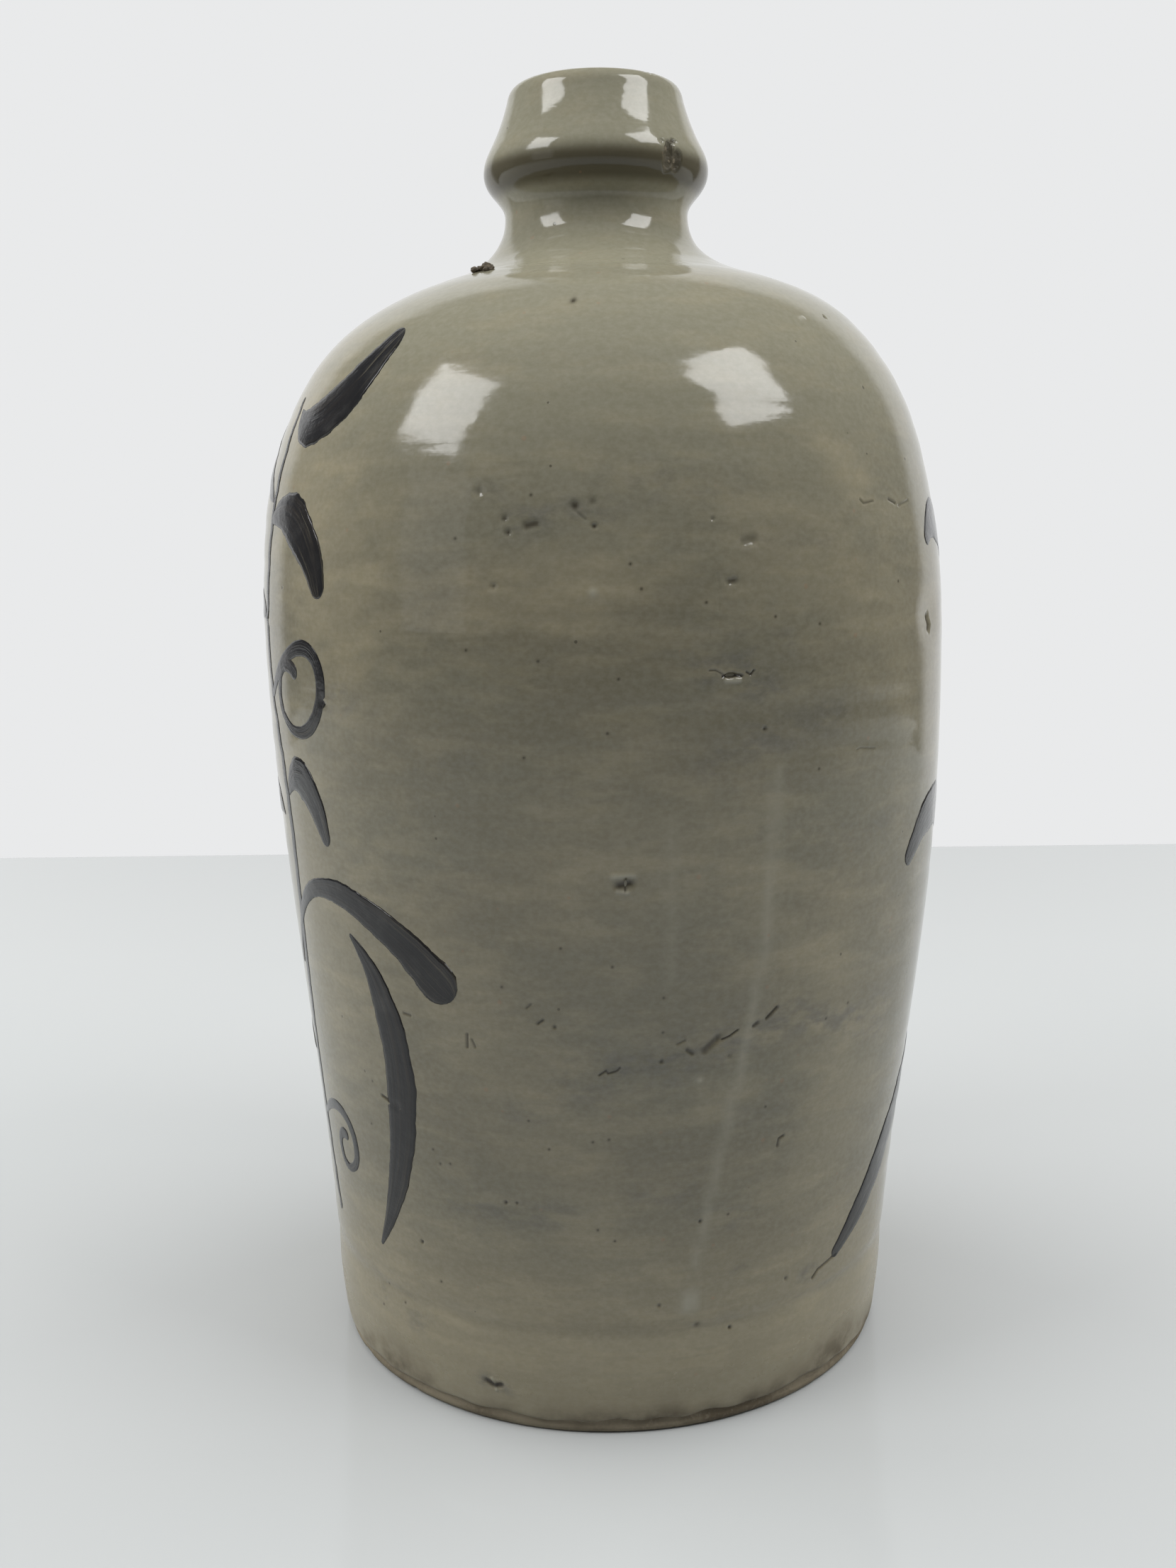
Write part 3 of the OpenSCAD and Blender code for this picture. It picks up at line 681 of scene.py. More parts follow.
def glaze_skin(form, name):
    """The outer glaze as one closed skin, cut finer wherever a mark lies."""
    s = form.s
    lathe = form.outside
    neck_u, shoulder_u = lathe.at_height(s.neck_h), lathe.at_height(s.shoulder_h)
    end = lathe.length
    outer = np.concatenate([
        np.array([0, 0.06, 0.18, 0.4, 0.8, 1.5]) * MM,
        np.arange(2.8 * MM, shoulder_u, 1.5 * MM),
        np.arange(shoulder_u, neck_u, 0.8 * MM),
        np.arange(neck_u, end - 0.3 * MM, 0.5 * MM),
        [end],
    ])
    edge = np.clip(1 - outer / (0.8 * MM), 0, 1)
    sink = s.glaze_t * (1 - np.sqrt(1 - edge**2)) * 0.98
    inner = np.concatenate([np.arange(end, neck_u, -1.2 * MM),
                            np.arange(neck_u, 6 * MM, -5 * MM), [0]])
    run = np.concatenate([outer, inner])
    depth = np.concatenate([sink, np.full(len(inner), s.glaze_t)])
    depth[len(outer)] = s.glaze_t
    order = np.arange(len(run))

    def place(u):
        """The row of the sheet that lies at a distance along the outside."""
        return np.interp(u, outer, order[: len(outer)])

    bm = sheet(np.linspace(-180, 180, 241), order.astype(float), fine_spots(form, place))
    flat = np.array([v.co[:2] for v in bm.verts])
    az = np.radians(flat[:, 0])
    u, sunk = np.interp(flat[:, 1], order, run), np.interp(flat[:, 1], order, depth)
    # The glaze stops in a wavering line above the foot
    lap = around(az, FOOT_LINE_R, 0 * az)
    waver = 0.55 * MM + 0.5 * MM * drift(lap, 0.05, 21) + 0.25 * MM * drift(lap, 0.009, 22)
    u_real = u + np.clip(waver, 0, 2 * MM) * (1 - ramp(u, 0, 7 * MM))
    points, _ = form.skin(az, u_real, sunk)
    for vert, p in zip(bm.verts, points):
        vert.co = p
    tags = {n: bm.verts.layers.float.new(n) for n in ("turn", "run")}
    for vert, a, w in zip(bm.verts, az, u_real):
        vert[tags["turn"]], vert[tags["run"]] = a, w
    mesh = finish_mesh(bm, name)
    read = {}
    for tag in ("turn", "run"):
        read[tag] = np.zeros(len(mesh.vertices), np.float32)
        mesh.attributes[tag].data.foreach_get("value", read[tag])
    az, u = read["turn"].astype(float), read["run"].astype(float)
    for tag in ("turn", "run"):
        mesh.attributes.remove(mesh.attributes[tag])
    paint_glaze(form, mesh, az, u)
    return mesh


def paint_glaze(form, mesh, az, u):
    """Where the glaze is dark, pale, smoky, warm, stained or knocked away; the warmth near the
    foot is partly painted light.
    """
    lathe = form.outside
    r, z = lathe.point(u)
    _, cut = form.skin(az, u)
    base = around(az, r, z)
    torn = drift(base * (1, 1, 2.5), 0.011, 31) + 0.5 * drift(base * (1, 1, 2), 0.004, 32)
    dark, pale, smoke, warm = (np.zeros(len(az)) for _ in range(4))
    for chain, half, deep, fired in MARKS:
        here, off = form.near(az, z, chain, 4 * half)
        if deep > 0:
            dark[here] = np.maximum(dark[here], fired * bump(off, 0.85 * half))
        else:
            pale[here] = np.maximum(pale[here], 0.8 * bump(off, half))
    for place in PINHOLES:
        here, off = form.near(az, z, [place], 1.2)
        dark[here] = np.maximum(dark[here], 0.95 * bump(off, 0.26))
    for chain, half, high in RUNS:
        here, off = form.near(az, z, chain, 3 * half)
        pale[here] = np.maximum(pale[here], min(1, 0.18 + 8.0 * high) * bump(off, 0.9 * half))
    for chain, half, strength in SMUDGES:
        here, off = form.near(az, z, chain, 3 * half)
        cloud = bump(np.maximum(off + 0.35 * half * torn[here], 0), half)
        smoke[here] = np.maximum(smoke[here], 0.7 * strength * cloud)
    for chain, half, strength in WARM:
        here, off = form.near(az, z, chain, 2.6 * half)
        cloud = bump(np.maximum(off + 0.3 * half * torn[here], 0), half)
        warm[here] = np.maximum(warm[here], strength * cloud)
    z_mm = z / MM
    # Tan towards the foot: partly thin glaze, partly painted light bounced up from the pale table
    low = 1 - ramp(z_mm, 4, 58)
    warm = np.maximum(warm, 0.9 * low)
    turn = np.degrees(az)
    dirt = 0.45 + 0.75 * drift(base, 0.022, 41) + 0.45 * drift(base, 0.006, 42)
    dirt += 0.9 * bump(turn - 54, 11) + 0.75 * bump(turn + 42, 14) + 0.3 * bump(turn - 8, 18)
    rise = 2.4 + 5.2 * bump(turn - 50, 12) + 3.4 * bump(turn + 46, 12) + 1.0 * bump(turn - 10, 14)
    stain = 0.8 * np.clip(dirt, 0, 1.3) * bump(np.maximum(z_mm - 2.4, 0), rise)
    paint(mesh, "dark", np.clip(dark, 0, 1))
    paint(mesh, "pale", pale)
    paint(mesh, "smoke", smoke)
    paint(mesh, "warm", warm)
    paint(mesh, "stain", np.clip(stain, 0, 1))
    paint(mesh, "bare", ramp(cut / MM, 0.12, 0.45))
    paint(mesh, "rise", z_mm)


# ---------------------------------------------------------------- the brushed vines

# Each stroke is four bend points, (mm round a body of radius ROLL_R, height on a body
# ROLL_H tall), and its half width in mm at the start, middle and end.
ROLL_R, ROLL_H = 68.2, 212.0
VINES = {
    "left_vine_stem": (-80, [
        (((14, 30), (2, 68), (26, 98), (14, 132)), (1.3, 1.8, 1.3)),
        (((14, 132), (7, 152), (20, 172), (16, 190)), (1.3, 1.5, 0.8)),
        (((10, 82), (20, 106), (42, 106), (62, 88)), (1.1, 1.6, 4.4))]),
    "left_vine_leaves": (-80, [
        (((19, 188), (26, 182), (38, 186), (46, 198)), (0.5, 8, 3.2)),
        (((14, 172), (4, 176), (-4, 184), (-8, 194)), (0.5, 6, 2.2)),
        (((15, 168), (24, 172), (34, 168), (38, 157)), (0.5, 8, 2.6)),
        (((11, 150), (0, 156), (-12, 150), (-20, 136)), (0.5, 8, 0.4)),
        (((19, 117), (24, 124), (31, 122), (35, 111)), (0.5, 7, 1.8)),
        (((12, 112), (2, 118), (-12, 112), (-22, 96)), (0.5, 9, 0.4)),
        (((40, 93), (54, 82), (54, 52), (38, 30)), (0.5, 8, 0.5)),
        (((7, 62), (-4, 68), (-18, 60), (-24, 42)), (0.5, 9, 0.4))]),
    "left_vine_tendrils": (-80, [
        (((14, 136), (44, 162), (44, 126), (25, 130)), (1.1, 2.2, 1.1)),
        (((25, 130), (15, 133), (20, 146), (28, 141)), (1.1, 1.2, 1.6)),
        (((12, 50), (30, 62), (36, 44), (26, 42)), (0.9, 1.8, 0.9)),
        (((26, 42), (20, 42), (21, 50), (26, 49)), (0.9, 1, 1.3))]),
    "right_vine_stem": (88, [
        (((-4, 28), (8, 64), (-10, 98), (2, 134)), (1.3, 1.8, 1.3)),
        (((1, 130), (12, 150), (-6, 174), (4, 194)), (1.1, 1.6, 0.8))]),
    "right_vine_leaves": (88, [
        (((4, 152), (-6, 162), (-18, 172), (-28, 164)), (0.5, 8, 2.0)),
        (((-2, 100), (-12, 114), (-26, 116), (-37, 105)), (0.5, 8, 2.0)),
        (((1, 66), (-14, 62), (-28, 42), (-49, 28)), (0.5, 9, 1.4)),
        (((2, 126), (16, 136), (28, 130), (36, 112)), (0.5, 9, 0.4)),
        (((0, 76), (14, 88), (32, 80), (40, 58)), (0.5, 9, 0.4)),
        (((3, 176), (10, 186), (22, 188), (34, 176)), (0.5, 8, 0.4))]),
    "right_vine_tendrils": (88, [
        (((0, 50), (24, 62), (32, 34), (14, 34)), (1, 2, 1)),
        (((14, 34), (4, 36), (8, 48), (16, 44)), (1, 1.1, 1.5))]),
}


def brush_stroke(form, az0, curve, widths, seed, lift):
    """One stroke as rings of places round its length, with how far along and across each is."""
    line = bend(*curve, 200)
    gone = np.concatenate([[0], np.cumsum(np.hypot(*np.diff(line, axis=0).T))])
    heads = np.gradient(line, axis=0)
    heads /= np.linalg.norm(heads, axis=1)[:, None]
    w0, w1, w2 = widths
    total = gone[-1]
    cap = np.sin(np.linspace(0, math.pi / 2, 7))[1:]
    body = np.linspace(0, total, max(int(total / 0.9), 8))
    along = np.concatenate([-w0 * cap[::-1], body, total + w2 * cap])
    inside = np.clip(along, 0, total)
    t = np.interp(inside, gone, np.linspace(0, 1, 200))
    half = w0 * (1 - t) ** 2 + w1 * 2 * t * (1 - t) + w2 * t * t
    over = np.abs(along - inside)
    end = np.where(along < 0, w0, w2)
    half = np.where(over > 0, end * np.sqrt(np.clip(1 - (over / end) ** 2, 0, 1)), half)
    rng = np.random.default_rng(seed)
    wave = lambda size: np.sin(
        along[:, None] * 2 * math.pi / size * rng.uniform(0.7, 1.4, 5)
        + rng.uniform(0, 6.3, 5)).mean(1)
    left = half * (1 + 0.10 * wave(14) + 0.05 * wave(3))
    right = half * (1 + 0.10 * wave(17) + 0.05 * wave(3.5))
    middle = np.stack([np.interp(inside, gone, line[:, i]) for i in (0, 1)], 1)
    head = np.stack([np.interp(inside, gone, heads[:, i]) for i in (0, 1)], 1)
    middle += head * (along - inside)[:, None]
    side = np.stack([-head[:, 1], head[:, 0]], 1)
    across = np.concatenate([np.linspace(-1, 1, 11), [0.6, 0, -0.6]])
    rise = np.concatenate([0.12 + 0.33 * (1 - np.linspace(-1, 1, 11) ** 4), [-0.5] * 3])
    rise[[0, 10]] = -0.1
    rows = []
    for c, high in zip(across, rise):
        reach = np.where(c < 0, right, left) * c
        flat = middle + side * reach[:, None]
        az = math.radians(az0) + flat[:, 0] / ROLL_R
        z = flat[:, 1] / ROLL_H * form.s.shoulder_h
        thick = (form.s.ink_t + lift) * high * (np.minimum(half / 0.8, 1) if high > 0 else 1)
        points, _ = form.skin(az, form.outside.at_height(z), -thick)
        rows.append(points)
    return np.stack(rows, 1), along / total, across


def vine_mesh(form, name, az0, strokes, seed):
    bm = bmesh.new()
    tags = {n: bm.verts.layers.float.new(n) for n in ("along", "across", "stroke")}
    for k, (curve, widths) in enumerate(strokes):
        rings, along, across = brush_stroke(
            form, az0, curve, widths, seed * 17 + k, 0.012 * MM * (k + seed % 3)
        )
        verts = []
        for i, ring in enumerate(rings):
            verts.append([bm.verts.new(p) for p in ring])
            for vert, c in zip(verts[-1], across):
                vert[tags["along"]], vert[tags["across"]] = along[i], c
                vert[tags["stroke"]] = (seed * 5 + k) * 3.7
        count = len(across)
        for low, high in zip(verts[:-1], verts[1:]):
            for i in range(count):
                j = (i + 1) % count
                bm.faces.new((low[i], low[j], high[j], high[i]))
        bm.faces.new(verts[0][::-1])
        bm.faces.new(verts[-1])
    return finish_mesh(bm, name, 1e-8)


# ---------------------------------------------------------------- clay and grit


def seam_rings(a, b, steps):
    return [mix(a, b, t) for t in np.linspace(0, 1, steps + 2)[1:-1]]


def clay_section(form, name, low, high, inner_low, inner_high):
    """A ring of the clay wall between two seams, under the glaze on both faces."""
    az = whole_turn(192)
    sunk = form.s.glaze_t + 0.2 * MM
    steps = max(int((high - low) / (2.2 * MM)), 8)
    outer = [form.skin(az, np.full(len(az), u), sunk)[0] for u in np.linspace(low, high, steps)]
    inner = [form.inside(az, np.full(len(az), w), sunk)
             for w in np.linspace(inner_high, inner_low, steps)]
    rows = outer + seam_rings(outer[-1], inner[0], 3) + inner
    rows += seam_rings(inner[-1], outer[0], 3)
    return turned_mesh(name, rows, True)


def foot_mesh(form, name, crease_u, inner_w):
    """The base disc: bare turned foot, standing ring, shallow recess and floor."""
    s = form.s
    az = whole_turn(288)
    sunk = s.glaze_t + 0.05 * MM
    count = len(az)
    rows = [form.inside(az, np.full(count, w), s.glaze_t + 0.2 * MM)
            for w in np.linspace(0, inner_w, 24)]
    outer = [form.skin(az, np.full(count, u), sunk)[0]
             for u in np.linspace(crease_u, 0, 22)]
    rows += seam_rings(rows[-1], outer[0], 3) + outer
    bare_r = s.foot_d / 2 - s.glaze_t
    ring_r = bare_r - s.ring_w
    edge = [(bare_r, 1.7), (bare_r + 0.02 * MM, 1.35), (bare_r - 0.02 * MM, 1.0),
            (bare_r - 0.12 * MM, 0.6), (bare_r - 0.4 * MM, 0.22), (bare_r - 0.9 * MM, 0.04)]
    flat = [(bare_r - x * MM, 0.0) for x in np.arange(1.5, s.ring_w / MM, 0.7)]
    step = [(ring_r - 0.1 * MM, 0.08), (ring_r - 0.5 * MM, 0.5), (ring_r - 1.1 * MM, 1.1),
            (ring_r - 1.7 * MM, 1.42)]
    inside = [(r, 1.5) for r in np.arange(ring_r - 2.3 * MM, 0.5 * MM, -0.75 * MM)] + [(0, 1.5)]
    for r, high in edge + flat + step + inside:
        ring = around(az, r, np.full(count, high * MM))
        if high < 1.0:
            worn = np.clip(0.5 + drift(ring, 0.03, 51) + 0.5 * drift(ring, 0.006, 52), 0, 3)
            ring[:, 2] += 0.05 * MM * worn * (high > 0 or abs(r - bare_r) > 1.2 * MM)
            nicks = np.clip(drift(ring, 0.012, 53) - 1.15, 0, 1)
            close = bump(r - bare_r + 0.3 * MM, 0.9 * MM)
            ring[:, 2] += 0.9 * MM * nicks * close
            ring[:, :2] *= (1 - 0.9 * MM * nicks * close / max(r, 0.01))[:, None]
        elif r < ring_r:
            spin = np.sin(2 * math.pi * r / (3.1 * MM) - az) * ramp(r, 0.002, 0.008)
            ring[:, 2] += 0.12 * MM * spin + 0.08 * MM * drift(ring, 0.02, 54)
            ring[:, 2] += 0.35 * MM * bump(r, 0.004)
        rows.append(form.warp(ring))
    mesh = turned_mesh(name, rows, False)
    low = min(v.co.z for v in mesh.vertices)
    for v in mesh.vertices:
        if v.co.z < 0.5 * MM:
            v.co.z -= low * (1 - v.co.z / (0.5 * MM))
    return mesh


def inner_glaze_mesh(form, name):
    az = whole_turn(128)
    full = lambda w: np.full(len(az), w)
    end = form.hollow.length
    run = np.concatenate([np.arange(0, end - 30 * MM, 2.5 * MM),
                          np.arange(end - 30 * MM, end, 1.0 * MM), [end]])
    rows = [form.inside(az, full(w)) for w in run]
    rows += [form.inside(az, full(w), form.s.glaze_t) for w in run[::-2]]
    if run[::-2][-1] > 0:
        rows.append(form.inside(az, full(0.0), form.s.glaze_t))
    return turned_mesh(name, rows, False)


def islands(node):
    """Middle and size of each separate lump of a CAD node."""
    bm = bmesh.new()
    bm.from_mesh(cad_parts[node].data)
    bmesh.ops.remove_doubles(bm, verts=bm.verts, dist=1e-6)
    left, found = set(bm.verts), []
    while left:
        todo = [left.pop()]
        lump = []
        while todo:
            vert = todo.pop()
            lump.append(vert.co.copy())
            for edge in vert.link_edges:
                other = edge.other_vert(vert)
                if other in left:
                    left.remove(other)
                    todo.append(other)
        low = Vector(map(min, zip(*lump)))
        high = Vector(map(max, zip(*lump)))
        found.append(((low + high) / 2, (high - low).length))
    bm.free()
    return sorted(found, key=lambda f: -f[1])


def grit_mesh(form, name):
    bm = bmesh.new()
    for k, (middle, size) in enumerate(islands("kiln_grit")):
        bit = bmesh.ops.create_icosphere(bm, subdivisions=4, radius=size * 0.26)["verts"]
        ball = np.array([v.co for v in bit])
        way = ball / np.linalg.norm(ball, axis=1)[:, None]
        lumps = 1 + 0.22 * drift(way, 1.6, 61 + k) + 0.09 * drift(way, 0.5, 71 + k)
        lumps += 0.04 * drift(way, 0.2, 81 + k)
        ball *= lumps[:, None] * (1.15, 0.95, 0.62)
        place = form.warp(ball + np.array(middle) - (0, 0, 0.12 * size))
        for v, p in zip(bit, place):
            v.co = p
    return finish_mesh(bm, name, 1e-9)


# ---------------------------------------------------------------- materials


def put(tree, kind, inputs=None, **settings):
    """Adds a shader node. Inputs are plain values or other nodes' sockets."""
    node = tree.nodes.new(kind)
    for key, value in settings.items():
        setattr(node, key, value)
    for key, value in (inputs or {}).items():
        if isinstance(value, bpy.types.NodeSocket):
            tree.links.new(value, node.inputs[key])
        else:
            node.inputs[key].default_value = value
    return node


def sums(tree, operation, a, b=0.0, clamp=False):
    return put(tree, "ShaderNodeMath", {0: a, 1: b}, operation=operation,
               use_clamp=clamp).outputs[0]


def add(tree, a, b, clamp=False):
    return sums(tree, "ADD", a, b, clamp)


def product(tree, a, b):
    return sums(tree, "MULTIPLY", a, b)


def layer(tree, amount, under, over, kind="MIX"):
    """Lays one colour over another by some amount."""
    node = put(tree, "ShaderNodeMix", {0: amount, 6: under, 7: over}, data_type="RGBA",
               blend_type=kind, clamp_factor=True)
    return node.outputs[2]


def between(tree, value, low, high, out_low=0.0, out_high=1.0, smooth=True):
    node = put(tree, "ShaderNodeMapRange", {0: value, 1: low, 2: high, 3: out_low, 4: out_high},
               interpolation_type="SMOOTHSTEP" if smooth else "LINEAR")
    return node.outputs[0]


def mix_value(tree, amount, a, b):
    return put(tree, "ShaderNodeMix", {0: amount, 2: a, 3: b}, data_type="FLOAT").outputs[0]


def painted(tree, name):
    return put(tree, "ShaderNodeAttribute", attribute_name=name).outputs["Fac"]


def spot(tree):
    return put(tree, "ShaderNodeTexCoord").outputs["Object"]


def solid(values):
    return (*values, 1.0)


def stretched(tree, size, stretch):
    """Object places divided by a size, and squeezed in height by a stretch."""
    across = sums(tree, "DIVIDE", 1.0, size)
    tall = product(tree, across, stretch)
    scale = put(tree, "ShaderNodeCombineXYZ", {0: across, 1: across, 2: tall}).outputs[0]
    return put(tree, "ShaderNodeVectorMath", {0: spot(tree), 1: scale},
               operation="MULTIPLY").outputs[0]


def node_group(name, takes, gives):
    """A new shader node group with named number inputs and outputs."""
    tree = bpy.data.node_groups.new(name, "ShaderNodeTree")
    for key, value in takes.items():
        kind = "NodeSocketFloat" if isinstance(value, float) else "NodeSocketColor"
        item = tree.interface.new_socket(key, in_out="INPUT", socket_type=kind)
        item.default_value = value
    for key, kind in gives.items():
        tree.interface.new_socket(key, in_out="OUTPUT", socket_type=kind)
    return tree, tree.nodes.new("NodeGroupInput").outputs, tree.nodes.new("NodeGroupOutput").inputs


def grouped(tree, name, **inputs):
    values = {key.replace("_", " "): value for key, value in inputs.items()}
    return put(tree, "ShaderNodeGroup", values, node_tree=bpy.data.node_groups[name]).outputs


def drifting(tree, size, stretch, detail=3.0):
    """A cloudy number, about 0 to 1, that changes over roughly a size in metres."""
    return grouped(tree, "Thrown Drift", Size=size, Stretch=stretch, Detail=detail)["Amount"]


def specked(tree, spacing, chance, width):
    """A mask of round specks, one to a cell of some spacing in metres."""
    return grouped(tree, "Iron Specks", Spacing=spacing, Share=chance, Width=width)["Mask"]


def build_groups(c):
    """The effects that several finishes share."""
    tree, takes, gives = node_group(
        "Thrown Drift", {"Size": 0.02, "Stretch": 3.0, "Detail": 3.0},
        {"Amount": "NodeSocketFloat"})
    noise = put(tree, "ShaderNodeTexNoise", {
        "Vector": stretched(tree, takes["Size"], takes["Stretch"]), "Scale": 1.0,
        "Detail": takes["Detail"], "Roughness": 0.6})
    tree.links.new(noise.outputs["Fac"], gives["Amount"])

    tree, takes, gives = node_group(
        "Iron Specks", {"Spacing": 0.004, "Share": 0.3, "Width": 0.1},
        {"Mask": "NodeSocketFloat"})
    cells = put(tree, "ShaderNodeTexVoronoi", {
        "Vector": stretched(tree, takes["Spacing"], 1.0), "Scale": 1.0})
    pick = put(tree, "ShaderNodeSeparateColor", {0: cells.outputs["Color"]})
    wide = product(tree, takes["Width"], add(tree, pick.outputs[1], 0.35))
    inside = sums(tree, "SUBTRACT", 1.0, sums(tree, "DIVIDE", cells.outputs["Distance"], wide))
    chosen = sums(tree, "LESS_THAN", pick.outputs[0], takes["Share"])
    mask = product(tree, between(tree, inside, 0.0, 0.45), chosen)
    tree.links.new(mask, gives["Mask"])

    tree, takes, gives = node_group(
        "Finger Lines", {"Pitch": 0.0012, "Wander": 2.0}, {"Height": "NodeSocketFloat"})
    slow = drifting(tree, 0.03, 2.0)
    fine = drifting(tree, 0.02, 30.0)
    high = put(tree, "ShaderNodeSeparateXYZ", {0: spot(tree)}).outputs[2]
    turns = sums(tree, "DIVIDE", high, takes["Pitch"])
    wander = product(tree, slow, takes["Wander"])
    phase = product(tree, add(tree, turns, wander), 6.2832)
    line = product(tree, sums(tree, "SINE", phase), 0.25)
    tree.links.new(add(tree, line, fine), gives["Height"])

    tree, takes, gives = node_group(
        "Glaze Tone",
        {"Olive": solid(c.olive), "Tan": solid(c.tan), "Sage": solid(c.sage),
         "Thin And Lit Crown": solid(c.thin_and_lit_crown), "Shade": solid(c.glaze_and_painted_shade), "Smoke": solid(c.smoke),
         "Milk": solid(c.milk), "Speck": solid(c.speck)},
        {"Colour": "NodeSocketColor", "Specks": "NodeSocketFloat"})
    cloud = drifting(tree, 0.055, 2.6)
    wisp = drifting(tree, 0.016, 3.4, 5.0)
    streak = drifting(tree, 0.03, 26.0)
    grain = drifting(tree, 0.0012, 1.3)
    high = put(tree, "ShaderNodeSeparateXYZ", {0: spot(tree)}).outputs[2]
    tone = layer(tree, between(tree, cloud, 0.38, 0.66, 0.0, 0.5), takes["Olive"], takes["Sage"])
    # Paler towards the shoulder and the neck: partly thinner glaze, partly painted light on the
    # top of the flask
    lighter_top = between(tree, high, 0.150, 0.207, 0.0, 0.9)
    tone = layer(tree, lighter_top, tone, takes["Thin And Lit Crown"])
    warm = add(tree, painted(tree, "warm"), between(tree, wisp, 0.44, 0.70, 0.0, 0.36))
    tone = layer(tree, warm, tone, takes["Tan"])
    ragged = drifting(tree, 0.0065, 2.2, 5.0)
    torn = product(tree, painted(tree, "smoke"),
                between(tree, ragged, 0.40, 0.62, 0.1, 1.25))
    strands = add(tree, product(tree, wisp, 0.6), product(tree, streak, 0.4))
    loose = between(tree, strands, 0.56, 0.68, 0.0, 0.10)
    tone = layer(tree, add(tree, torn, loose), tone, takes["Smoke"])
    tone = layer(tree, between(tree, streak, 0.3, 0.7, 0.0, 0.10, False), tone,
                 (0.62, 0.60, 0.56, 1.0), "MULTIPLY")
    tone = layer(tree, between(tree, grain, 0.35, 0.7, 0.0, 0.035, False), tone,
                 (1.0, 0.98, 0.9, 1.0), "SCREEN")
    tone = layer(tree, painted(tree, "pale"), tone, takes["Milk"])
    # A dark band under the collar's edge: painted shade where the collar overhangs the neck,
    # partly thicker glaze
    under = product(tree, between(tree, high, 0.2285, 0.2305),
                 between(tree, high, 0.2335, 0.2362, 1.0, 0.0))
    tone = layer(tree, product(tree, under, 0.9), tone, takes["Shade"])
    fine = specked(tree, 0.0042, 0.17, 0.075)
    bold = specked(tree, 0.017, 0.14, 0.03)
    rust = specked(tree, 0.0031, 0.12, 0.14)
    tone = layer(tree, product(tree, rust, 0.2), tone, (0.30, 0.14, 0.08, 1.0))
    specks = sums(tree, "MAXIMUM", product(tree, fine, 0.6),
                  product(tree, bold, 0.85))
    tone = layer(tree, specks, tone, takes["Speck"])
    tree.links.new(tone, gives["Colour"])
    tree.links.new(specks, gives["Specks"])

    tree, takes, gives = node_group(
        "Fired Clay", {"Clay": solid(c.clay), "Burnt": solid(c.burnt)},
        {"Colour": "NodeSocketColor", "Height": "NodeSocketFloat"})
    cloud = drifting(tree, 0.02, 1.6, 5.0)
    sand = drifting(tree, 0.0008, 1.0, 2.0)
    lines = grouped(tree, "Finger Lines", Pitch=0.0016, Wander=1.0)["Height"]
    body = layer(tree, between(tree, cloud, 0.35, 0.68), takes["Clay"], takes["Burnt"])
    body = layer(tree, between(tree, sand, 0.5, 0.75, 0.0, 0.5), body, (0.26, 0.22, 0.16, 1.0))
    dots = specked(tree, 0.0022, 0.35, 0.16)
    body = layer(tree, product(tree, dots, 0.7), body, takes["Burnt"])
    high = add(tree, product(tree, sand, 0.7), product(tree, lines, 0.35))
    tree.links.new(body, gives["Colour"])
    tree.links.new(high, gives["Height"])


def new_material(name):
    material = bpy.data.materials.new(name)
    material.use_nodes = True
    tree = material.node_tree
    return material, tree, tree.nodes["Principled BSDF"]


def rough_surface(tree, shader, height, depth):
    """Feeds a height into the shader as a bump of some depth in metres."""
    raised = put(tree, "ShaderNodeBump", {"Height": height, "Distance": depth, "Strength": 1.0})
    tree.links.new(raised.outputs[0], shader.inputs["Normal"])


